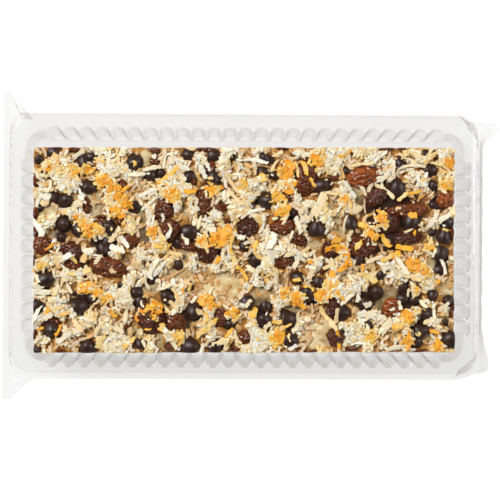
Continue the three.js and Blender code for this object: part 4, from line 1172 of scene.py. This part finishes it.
def strips(lot, rings, seed):
    """Bent strips with a flat six-sided section, one for each row of the lot. The middle line is an
    arc in the strip's plane that also bows up or down; the ends are cut aslant; each ring is a
    little wider or narrower than the last. Returns points, faces and the place along each."""
    count = len(lot["x"])
    rng = np.random.default_rng(seed)
    t = np.linspace(-0.5, 0.5, rings)[None, :, None]
    one = {key: values[:, None, None] for key, values in lot.items()}
    curl = np.where(np.abs(one["curl"]) < 1e-3, 1e-3, one["curl"])
    grow = rng.uniform(0.72, 1.22, (count, rings, 1)) * (1 - 0.3 * np.abs(2 * t) ** 3)
    jag = rng.uniform(-0.2, 0.2, (count, rings, len(SECTION)))
    wander = np.cumsum(rng.normal(0, 0.05, (count, rings, 1)), axis=1) * one["width"]
    across = (SECTION[:, 0] * grow + jag) * one["width"] / 2
    up = (SECTION[:, 1] * grow + jag[..., ::-1]) * one["thickness"] / 2
    slant = rng.uniform(-0.6, 0.6, (count, 1, 1)) * np.abs(2 * t) ** 3
    angle = curl * t
    along = one["length"] * np.sin(angle) / curl - across * np.sin(angle) + slant * across
    side = one["length"] * (1 - np.cos(angle)) / curl + across * np.cos(angle) + wander
    lift = up + one["bow"] * (4 * t**2 - 0.33) * one["length"]
    c, s = np.cos(one["roll"]), np.sin(one["roll"])
    side, lift = side * c - lift * s, side * s + lift * c
    level = 1 / np.sqrt(1 + one["slope"] ** 2)
    ahead = (along - lift * one["slope"]) * level
    z = one["z"] + (along * one["slope"] + lift) * level
    c, s = np.cos(one["turn"]), np.sin(one["turn"])
    points = np.stack([one["x"] + ahead * c - side * s, one["y"] + ahead * s + side * c, z], -1)
    sides = len(SECTION)
    starts = (np.arange(count) * rings * sides)[:, None, None]
    walls = (rings_of(rings, sides)[None] + starts).reshape(-1, 4)
    first = np.arange(sides)[::-1]
    last = np.arange(sides) + (rings - 1) * sides
    ends = (np.stack([first, last])[None] + starts).reshape(-1, sides)
    place = np.broadcast_to(np.abs(2 * t), points.shape[:3])
    return points.reshape(-1, 3), [walls[:, ::-1], ends[:, ::-1]], place.ravel()


def browning(x, y):
    """How much the oven browned the coconut at each place: the strongest of one soft spot at each
    tuft, broken up by ripples."""
    brown = np.zeros_like(x)
    for tx, ty, spread, level in TOASTED_TUFTS:
        far = np.hypot(x - tx, y - ty) / (1.25 * spread)
        brown = np.maximum(brown, level * np.exp(-(far**2)))
    return brown * (0.8 + 0.35 * ripple(np.stack([x, y], -1), 3.5, 64))


def make_strips(name, lot, rings, material, toast, milk_and_shade, seed, side=None):
    """One piece from a lot of strips, its tips toasted a little more than the rest. It ends flat
    at the slab's cut sides. Strips that are given a side lie against it."""
    points, faces, place = strips(lot, rings, seed)
    each = rings * len(SECTION)
    if side is not None:
        points = stood_up(points, np.repeat(side, each))
    tips = np.repeat(toast, each) * (0.8 + 0.45 * place**2)
    soaked = np.random.default_rng(seed + 1).beta(0.8, 1.4, len(toast))
    # The milk layer paints caramel for glaze and for shade among the lower strips.
    layers = {"toast": np.clip(tips, 0, 1), "milk_and_shade": np.repeat(milk_and_shade, each)}
    layers["soaked"] = np.repeat(soaked, each)
    held = to_row(within_cut(points, 0.2))
    made = make_mesh(name, held, faces, material, flat=(0, 1), layers=layers)
    carried(made)


def chances(ground):
    """How likely each cell of the map is to get a shred, a half covered one and a speck. Coconut
    heaps up in fluffy patches; little of it lies in pools, in the dark gaps and on toppings."""
    pools = pool_depth(ground.x, ground.y)
    flat = np.stack([ground.x, ground.y], -1)
    fluffy = smooth(ripple(flat, 22, 61) + 0.7 * ripple(flat, 8, 62), -1.2, 0.8)
    gaps = in_ellipses(ground.x, ground.y, SHADED_BARE_GAPS).max(0)
    clear = np.where(ground.topping, 0.1, 1) * (1 - 0.96 * gaps)
    shreds = (0.12 + 0.88 * fluffy**1.5) * (1 - 0.97 * pools) * clear
    return shreds, (0.6 - 0.45 * pools) * clear, 0.6 * (1 - 0.8 * pools)


def tuft_lot(rng, sizes):
    """A lot of short bent shreds, scattered round the middles of the tufts."""
    tufts = np.array(TOASTED_TUFTS)
    index = np.repeat(np.arange(len(tufts)), sizes.in_a_tuft)
    away = rng.normal(0, 0.75, (len(index), 2)) * tufts[index, 2:3]
    x, y = (tufts[index, :2] + away).T
    return lot_of(
        rng, sizes, x, y, scale=0.62, wide=0.85, thick=1.2, curl=0.9, bow=0.1, roll=0.4, sink=0.35
    )


def measured_lot(rng, sizes):
    """The broad flakes and the curls as one lot, and how far each of them is toasted."""
    x, y, long, wide, turn, toast = np.array(FLAKES).T
    flakes = lot_of(rng, sizes, x, y, curl=0.5, bow=0.06, roll=0.2, sink=0.35)
    flakes.update(length=long, width=wide, turn=np.radians(turn))
    x, y, radius, middle, sweep, curl_toast = np.array(TOASTED_CURLS).T
    middle, sweep = np.radians(middle), np.radians(sweep)
    at = (x + radius * np.cos(middle), y + radius * np.sin(middle))
    curls = lot_of(rng, sizes, *at, wide=0.9, bow=0.03, roll=0.3, sink=0.2)
    curls.update(length=radius * sweep, turn=middle + np.pi / 2, curl=sweep)
    return joined(flakes, curls), np.concatenate([toast, curl_toast])


def toasted(rng, lot, least=0.0, gain=1.0):
    """How far each strip of a lot is toasted: as far as the oven browned its place, more the higher
    it stands over the mix, and unevenly; elsewhere it is faintly golden."""
    high = np.clip((lot["z"] - swell(lot["x"], lot["y"])) / 2.5, 0, 1)
    gold = 0.05 + 0.08 * ripple(np.stack([lot["x"], lot["y"]], -1), 18, 63)
    brown = browning(lot["x"], lot["y"]) * (0.75 + 0.6 * high) * gain
    return np.clip(np.maximum(brown, gold) + rng.normal(0, 0.22, len(high)) * brown, least, 1)


def milk_and_shade_cover(lot):
    """How far each strip of a lot is painted caramel, for milk glaze over it and for painted shade down
    among the others: the less, the higher it lies over the mix.
    """
    above = lot["z"] - swell(lot["x"], lot["y"])
    return np.clip(0.95 - above * 0.55, 0, 0.85)


class SLICE_OT_coconut(bpy.types.Operator):
    """Lays the shredded coconut, its crumbs and the toasted tufts over the slab"""

    bl_idname = "slice.coconut"
    bl_label = "Coconut"

    def execute(self, context):
        sizes = context.scene.slice_coconut
        rng = np.random.default_rng(51)
        ground = Ground(sizes.pile / MM)
        for made in bpy.data.objects:
            if made.name.startswith(("drop_", "dried_grape_", "small_")):
                ground.raise_by(from_row(corners_of(made)))
        chance, ghosts, everywhere = chances(ground)

        def lay(count, where, **shape):
            return ground.settle(scattered(rng, ground, count, where, sizes, **shape))

        third, half = sizes.crumbs // 3, sizes.shreds // 2
        sunk = lay(sizes.sunk, ghosts, scale=0.9, roll=0.12, bow=0.02, sink=0.75)
        crumbs = [lay(third, chance, scale=0.55, thick=1.1, roll=0.25, sink=0.4)]
        shreds = [lay(half, chance, over=0.02)]
        crumbs.append(lay(third, chance, scale=0.55, thick=1.1, roll=0.25))
        shreds.append(lay(half, chance, over=0.03, sink=0.2))
        crumbs.append(lay(third, chance, scale=0.48, wide=0.9, roll=0.25, over=0.05))
        crumbs.append(lay(sizes.specks, everywhere, scale=0.3, wide=0.65, thick=0.8, over=0.07))
        tuft = ground.settle(tuft_lot(rng, sizes))
        flakes, toast = measured_lot(rng, sizes)
        flakes = ground.settle(flakes, soft=0.7)

        flesh = dried_coconut(sizes)
        for name, lot, rings in (
            ("glazed_shreds", sunk, 4),
            ("coconut_shreds", joined(*shreds), 5),
            ("coconut_crumbs", joined(*crumbs), 3),
        ):
            make_strips(name, lot, rings, flesh, toasted(rng, lot), milk_and_shade_cover(lot), len(lot["x"]))
        brown = toasted(rng, tuft, 0.08, 1.15)
        make_strips("toasted_coconut", tuft, 5, flesh, brown, 0 * brown, 52)
        side, along, height = side_places(
            rng, context.scene.slice_slab.cut_shreds, SLAB_BASE + 0.8, SLAB_TOP - 0.6
        )
        cut = lot_of(rng, sizes, along, height, scale=0.6, wide=0.85, bow=0.01, roll=0.1)
        cut.update(z=rng.uniform(-0.35, -0.05, len(side)), slope=0 * along)
        make_strips("cut_shreds", cut, 4, flesh, 0 * along, rng.uniform(0, 0.6, len(side)), 54, side)
        make_strips("coconut_flakes", flakes, 9, flesh, toast, 0 * toast, 53)
        return {"FINISHED"}


# ---- tray -------------------------------------------------------------------------------------

# The tray's outlines in the row's frame, as half length, half width and corner radius.
FLANGE = (115.1, 64.0, 10.0)
FLANGE_SHIFT = (-0.6, 1.3)  # the sheet is trimmed off centre
WALL_TOP = (108.8, 56.7, 9.0)
WALL_FOOT = (107.5, 54.7, 4.4)
WELL = (107.3, 54.1, 3.2)
RIM = 31.0  # height of the flange
LEDGE = 5.0  # height of the step between the walls and the well
TRAY_FLOOR = 1.2
CURL = 2.0  # how far the flange's edge turns down
LIP = 0.7  # radius of the bend from the flange into the wall
LONG_FLUTES = (25, 7.93)  # how many on a long side, and how far apart
SHORT_FLUTES = (11, 7.98)
FLUTE_NARROWS = 0.16  # share of its width that a flute loses on its way down, and of its depth
FLUTE_FADES = 0.4

# The flange from its turned-down edge to the wall, as inset and depth below the rim.
FLANGE_PROFILE = (
    (0, CURL), (0, 1.3), (0, 0.8), (0.06, 0.5), (0.24, 0.24), (0.5, 0.06), (0.8, 0), (2.0, 0),
    (2.3, 0.04), (2.5, 0.08), (2.9, 0.08), (3.1, 0.04), (3.4, 0),
)

# The well from the ledge to the flat floor, as inset and height.
WELL_PROFILE = (
    (0, LEDGE - 0.12), (0.1, LEDGE - 0.5), (0.22, TRAY_FLOOR + 0.7), (0.42, TRAY_FLOOR + 0.2),
    (0.9, TRAY_FLOOR),
)


def outline(size, width, depth=0.0, steps=10, corner_steps=14):
    """A ring of a rounded rectangle, anticlockwise from the middle of its front. Each side carries
    its row of flutes: at an angle a across a flute the wall stands out by the depth times the
    sine of a, and lies half the width times the cosine of a from the flute's middle."""
    half_x, half_y, corner = size
    a = np.linspace(np.pi, 0, steps + 1)
    bend = np.linspace(0, np.pi / 2, corner_steps + 1)
    ring = []
    for k in range(4):
        long_side = k % 2 == 0
        half, far = (half_x, half_y) if long_side else (half_y, half_x)
        count, pitch = LONG_FLUTES if long_side else SHORT_FLUTES
        centres = (np.arange(count) - (count - 1) / 2) * pitch
        u = (centres[:, None] + width / 2 * np.cos(a)).ravel()
        v = np.tile(far + depth * np.sin(a), count)
        u = np.concatenate([u, half - corner + corner * np.sin(bend)])
        v = np.concatenate([v, far - corner + corner * np.cos(bend)])
        c, s = SIDES[k]
        ring.append(np.stack([c * u + s * v, s * u - c * v], -1))
    return np.concatenate(ring)


def grown(size, distance):
    """A rounded rectangle's size, with its edge moved out by a distance."""
    return tuple(part + distance for part in size)


def between(first, second, share):
    """A size between two sizes."""
    return tuple(a + (b - a) * share for a, b in zip(first, second))


def tray_surface(sizes):
    """The formed sheet's upper face: rings from the turned-down rim over the flange, round the
    lip, down the fluted wall, over the ledge and down the well to a flat floor."""
    depth, width = sizes.flute_depth / MM, sizes.flute_width / MM
    rings = []

    def ring(flat, z, shift=(0, 0)):
        rings.append(np.column_stack([flat + shift, np.full(len(flat), z)]))

    for inset, down in FLANGE_PROFILE:
        ring(outline(grown(FLANGE, -inset), width), RIM - down, FLANGE_SHIFT)
    for turn in np.radians([0, 22, 45, 67, 90]):
        out = LIP * (1 - math.sin(turn))
        ring(outline(grown(WALL_TOP, out), width + 2 * out, depth), RIM - LIP * (1 - math.cos(turn)))
    for share in np.linspace(0, 1, 14)[1:]:
        narrow = width * (1 - FLUTE_NARROWS * share)
        faded = depth * (1 - FLUTE_FADES * share**2)
        flat = outline(between(WALL_TOP, WALL_FOOT, share), narrow, faded)
        ring(flat, RIM - LIP + (LEDGE + 0.3 - RIM + LIP) * share)
    foot = grown(WALL_FOOT, -0.12)
    ring(outline(foot, width), LEDGE + 0.08)
    ring(outline(between(foot, WELL, 0.5), width), LEDGE)
    for inset, z in WELL_PROFILE:
        ring(outline(grown(WELL, -inset), width), z)
    stacked = np.stack(rings)
    around = stacked.shape[1]
    middle = stacked.size // 3
    points = np.concatenate([stacked.reshape(-1, 3), [[0, 0, TRAY_FLOOR]]])
    last = middle - around + np.arange(around)
    fan = np.stack([last, np.roll(last, -1), np.full(around, middle)], -1)
    return points, [rings_of(len(rings), around), fan]


class SLICE_OT_tray(bpy.types.Operator):
    """Makes the clear fluted tray"""

    bl_idname = "slice.tray"
    bl_label = "Tray"

    def execute(self, context):
        sizes = context.scene.slice_tray
        points, faces = tray_surface(sizes)
        # The edge-on tint is partly painted shade for the dark edges of the flutes.
        sheet = clear_plastic(
            "clear_formed_sheet", sizes.sheet, (0.8, 0.795, 0.785), sharp=8.0, face_on=0.012,
            haze=0.006, gloss=0.12,
        )
        made = make_mesh("formed_tray", points, faces, sheet)
        give_wall(made, sizes.wall)
        carried(made, "tray")
        return {"FINISHED"}


# ---- film -------------------------------------------------------------------------------------

FILM_TOP = RIM + 0.6
CREASE = 19.0  # height where the film's sides fold out into the end seals
FRONT = (-63.8, -66.9, -57.0)  # y at the top, at the crease and at the foot
BACK = (66.4, 63.4, 57.4)
FOOT_X = 108.6
CREASE_X = 107.0
FILM_CLEAR = 0.65  # outside the flange's edge
TOP_BEND = 2.4  # how far the film's bends reach each way over the pack, and under it
FOOT_BEND = 3.0
SEAL_GAP = 0.1  # half the way between the two layers in an end seal
CRIMP_HEIGHT = 0.14
SEAL_WAVE = 0.35  # how far a seal's outer edge waves up and down
SWING_MOST = 0.25  # outwards, of the folds that run towards a seal
SAG_OVER = 0.14  # of the film over the pack, and how far it lifts under the pack
SAG_UNDER = 0.1

# The end seals: x and z where the two layers meet and at the outer edge, the way up from one layer
# to the other, half the width, and bumps as y, out, up and spread.
LEFT_SEAL = ((-118, 20), (-122.7, 13.5), (-0.6, 0.8), 77.2, ())
RIGHT_SEAL = ((118.6, 20), (122.4, 8), (0.85, 0.53), 63.4, ((61, 6.6, 7, 5), (-59, 3.2, 3, 9)))


def film_half(over, count):
    """Half of the film's section, from its front crease to its back one, over the pack or under
    it: evenly spaced points of a line with two rounded bends. Returns y, z and the place across."""
    level, end, bend = (FILM_TOP, 0, TOP_BEND) if over else (0.0, 2, FOOT_BEND)
    corners = np.array([(FRONT[1], CREASE), (FRONT[end], level), (BACK[end], level), (BACK[1], CREASE)])
    line = [corners[:1]]
    for k in (1, 2):
        before = corners[k - 1] - corners[k]
        after = corners[k + 1] - corners[k]
        start = corners[k] + before / np.linalg.norm(before) * bend
        end = corners[k] + after / np.linalg.norm(after) * bend
        t = np.linspace(0, 1, 9)[:, None]
        line.append((1 - t) ** 2 * start + 2 * t * (1 - t) * corners[k] + t**2 * end)
    line = np.concatenate([*line, corners[3:]])
    run = np.concatenate([[0], np.cumsum(np.linalg.norm(np.diff(line, axis=0), axis=1))])
    at = np.linspace(0, run[-1], count)
    return np.interp(at, run, line[:, 0]), np.interp(at, run, line[:, 1]), 2 * at / run[-1] - 1


def film_section():
    """The film's closed section over the tray: y, z, the place across from -1 to 1, and the side,
    which is 1 over the pack, -1 under it and 0 at the two creases."""
    y_over, z_over, across_over = film_half(True, 116)
    y_under, z_under, across_under = film_half(False, 84)
    y = np.concatenate([y_over, y_under[-2:0:-1]])
    z = np.concatenate([z_over, z_under[-2:0:-1]])
    across = np.concatenate([across_over, across_under[-2:0:-1]])
    side = np.concatenate([np.ones(len(y_over)), -np.ones(len(y_under) - 2)])
    side[[0, len(y_over) - 1]] = 0
    return y, z, across, side


def film_reach(y, side):
    """How far along X each point of the section runs straight: over the pack to just outside the
    flange, round its corners, and under the pack to the tray's foot."""
    corner = FLANGE[2] + FILM_CLEAR
    beyond = np.clip(np.abs(y - FLANGE_SHIFT[1]) - (FLANGE[1] - FLANGE[2]), 0, corner)
    over_reach = FLANGE[0] - FLANGE[2] + np.sqrt(corner**2 - beyond**2)
    return np.where(side > 0, over_reach, np.where(side < 0, FOOT_X, CREASE_X))


def gathered(start, near, across, side, end, slack):
    """The film between the flange and a seal: straight lines from start to near, with folds that
    run along them and swing out most half way and at the pack's corners."""
    share = np.linspace(0, 1, 17)[:, None, None]
    streak = np.stack([across[None] * 21 + 0 * share[..., 0], share[..., 0] * 0.9 + 0 * across], -1)
    fold = ripple(streak, 1.0, 71 + end) + 0.5 * ripple(streak * 2.2, 1.0, 75 + end)
    swing = slack * fold * np.sin(np.pi * share[..., 0]) ** 0.8 * (1 + 1.2 * np.abs(across) ** 4)
    out = np.stack([np.full(len(side), end * 0.55), 0.2 * np.sign(start[:, 1]), side * 0.8], -1)
    return start + (near - start) * share + np.minimum(swing, SWING_MOST)[..., None] * out


def end_seal(seal, across, side, end, crimp):
    """An end seal from its root to its outer edge, where its two layers close. Crimps run across
    it, ripples of even pitch; a slow wave and the seal's bumps grow towards its edge."""
    root, edge, up, half, bumps = seal
    wide = across * half
    s = np.linspace(0, 1, 54)[1:, None]
    run = math.hypot(edge[0] - root[0], edge[1] - root[1])
    ridge = CRIMP_HEIGHT * np.sin(2 * np.pi * s * run / crimp) * smooth(s, 0, 0.08)
    wave = SEAL_WAVE * s * ripple(np.stack([wide / 14, 0 * wide], -1), 1.0, 79 + end)
    lift = side * SEAL_GAP * (1 - smooth(s, 0.97, 1)) + ridge + wave
    x = root[0] + (edge[0] - root[0]) * s + up[0] * lift
    z = root[1] + (edge[1] - root[1]) * s + up[1] * lift
    for by, out_by, up_by, spread in bumps:
        strength = s * np.exp(-(((wide - by) / spread) ** 2))
        x = x + end * out_by * strength
        z = z + up_by * strength
    return np.stack([x, np.broadcast_to(wide, x.shape), z], -1)


def film_surface(sizes):
    """The film as a tube: sections along X from one end seal to the other. Over the tray each
    point keeps its place in the section, with a slight sag; past the flange the section is drawn
    together in even steps until its two layers nearly meet in the seal."""
    y, z, across, side = film_section()
    reach = film_reach(y, side)
    shift = np.where(side > 0, FLANGE_SHIFT[0], 0)
    rings = []
    for end, seal in ((-1, LEFT_SEAL), (1, RIGHT_SEAL)):
        root, _, up, half, _ = seal
        start = np.stack([end * reach + shift, y, z], -1)
        lift = side * SEAL_GAP
        near = np.stack([root[0] + up[0] * lift, across * half, root[1] + up[1] * lift], -1)
        gather = gathered(start, near, across, side, end, sizes.slack / MM)
        rings.append(np.concatenate([gather, end_seal(seal, across, side, end, sizes.crimp / MM)]))
    left, right = rings[0][::-1], rings[1]
    share = np.linspace(0, 1, 62)[1:-1, None, None]
    middle = left[-1] + (right[0] - left[-1]) * share
    easy = ripple(middle * [1, 1, 0.4], 38, 83) * np.sin(np.pi * share[..., 0]) ** 0.5
    middle[..., 2] -= np.where(side > 0, SAG_OVER, -SAG_UNDER) * np.abs(easy)
    grid = np.concatenate([left, middle, right])
    return grid.reshape(-1, 3), [rings_of(len(grid), len(y))]


class SLICE_OT_film(bpy.types.Operator):
    """Makes the clear film round the tray"""

    bl_idname = "slice.film"
    bl_label = "Film"

    def execute(self, context):
        sizes = context.scene.slice_film
        points, faces = film_surface(sizes)
        # The edge-on tint is partly painted shade for the dark edges that refraction draws.
        clear = clear_plastic(
            "clear_cast_film", sizes.tint, (0.97, 0.967, 0.962), sharp=3.0, face_on=0.006,
            haze=0.001, gloss=0.06,
        )
        made = make_mesh("sealed_film", points, faces, clear)
        give_wall(made, sizes.thickness)
        carried(made, "film")
        return {"FINISHED"}


# ---- stage ------------------------------------------------------------------------------------

FLOOR_HALF = 2500.0
FLOOR_LEVEL = -0.4  # just under the film
CAMERA_AT = (-10.1, -0.1, 655)
CAMERA_AIM = (2.3, -1.6, 31)
CAMERA_ROLL = math.radians(0.3)
CAMERA_LENS = 90.65
LIGHT_AIM = (0, 0, 20)

def aimed(name, data, at, target, roll=0.0):
    """An object that looks from one place, in millimetres, at another, with the row's Y up."""
    made = bpy.data.objects.new(name, data)
    bpy.context.scene.collection.objects.link(made)
    forward = (Vector(target) - Vector(at)).normalized()
    flat = forward.cross(Vector((0, 1, 0))).normalized()
    right = flat * math.cos(roll) + flat.cross(forward) * math.sin(roll)
    up = right.cross(forward)
    turn = Matrix([right, up, -forward]).transposed().to_4x4()
    made.matrix_world = Matrix.Translation(Vector(at) * MM) @ turn
    return made


class SLICE_OT_stage(bpy.types.Operator):
    """Makes the pale floor, the soft lights and the camera over the pack"""

    bl_idname = "slice.stage"
    bl_label = "Stage"

    def execute(self, context):
        scene = context.scene
        studio = scene.slice_studio
        corners = np.array([(-1, -1), (1, -1), (1, 1), (-1, 1)]) * FLOOR_HALF
        corners = np.column_stack([corners, np.full(4, FLOOR_LEVEL)])
        floor = make_mesh("floor", corners, [np.array([[0, 1, 2, 3]])], frosted_acrylic(studio))

        for name, power, size, at in (
            ("upper_left", studio.key, 950, (-1250, 950, 1700)),
            ("right", studio.fill, 420, (1300, 200, 960)),
        ):
            lamp = bpy.data.lights.new(name, "AREA")
            lamp.energy = power
            lamp.size = size * MM
            aimed(name, lamp, at, LIGHT_AIM)

        world = bpy.data.worlds.new("surround")
        world.use_nodes = True
        scene.world = world
        # The room is bright low down and dark overhead, where the camera hangs.
        tree = world.node_tree
        way = add(tree, "SeparateXYZ", {0: add(tree, "TexCoord").outputs["Generated"]})
        overhead = {"Value": way.outputs["Z"], "From Min": 0.35, "From Max": 0.8}
        strength = add(tree, "MapRange", {**overhead, "To Min": studio.sky, "To Max": 0.04})
        surround = tree.nodes["Background"]
        surround.inputs["Color"].default_value = linear("#ffffff")
        tree.links.new(strength.outputs[0], surround.inputs["Strength"])

        camera = bpy.data.cameras.new("camera")
        camera.sensor_width = 36
        camera.lens = CAMERA_LENS
        camera.clip_start = 0.01
        scene.camera = aimed("camera", camera, CAMERA_AT, CAMERA_AIM, CAMERA_ROLL)
        scene.view_settings.view_transform = "Standard"
        scene.cycles.transparent_max_bounces = 32
        return {"FINISHED"}


# ---- panel ------------------------------------------------------------------------------------

STEPS = (
    SLICE_OT_slab,
    SLICE_OT_drops,
    SLICE_OT_raisins,
    SLICE_OT_coconut,
    SLICE_OT_tray,
    SLICE_OT_film,
    SLICE_OT_stage,
)
GROUPS = {
    "slice_slab": SlabSettings,
    "slice_coconut": CoconutSettings,
    "slice_toppings": ToppingSettings,
    "slice_tray": TraySettings,
    "slice_film": FilmSettings,
    "slice_studio": StudioSettings,
}


class SLICE_PT_panel(bpy.types.Panel):
    """Lists the steps and their sizes"""

    bl_idname = "SLICE_PT_panel"
    bl_label = "Coconut slice"
    bl_space_type = "VIEW_3D"
    bl_region_type = "UI"
    bl_category = "Slice"

    def draw(self, context):
        for step in STEPS:
            self.layout.operator(step.bl_idname)
        for name, group in GROUPS.items():
            box = self.layout.box()
            for key in group.__annotations__:
                box.prop(getattr(context.scene, name), key)


def register():
    for group in (*GROUPS.values(), *STEPS, SLICE_PT_panel):
        bpy.utils.register_class(group)
    for name, group in GROUPS.items():
        setattr(bpy.types.Scene, name, bpy.props.PointerProperty(type=group))


def unregister():
    for name in GROUPS:
        delattr(bpy.types.Scene, name)
    for group in reversed((*GROUPS.values(), *STEPS, SLICE_PT_panel)):
        bpy.utils.unregister_class(group)


def main():
    register()
    for step in STEPS:
        area, name = step.bl_idname.split(".")
        getattr(getattr(bpy.ops, area), name)()
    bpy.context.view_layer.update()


if __name__ == "__main__":
    main()
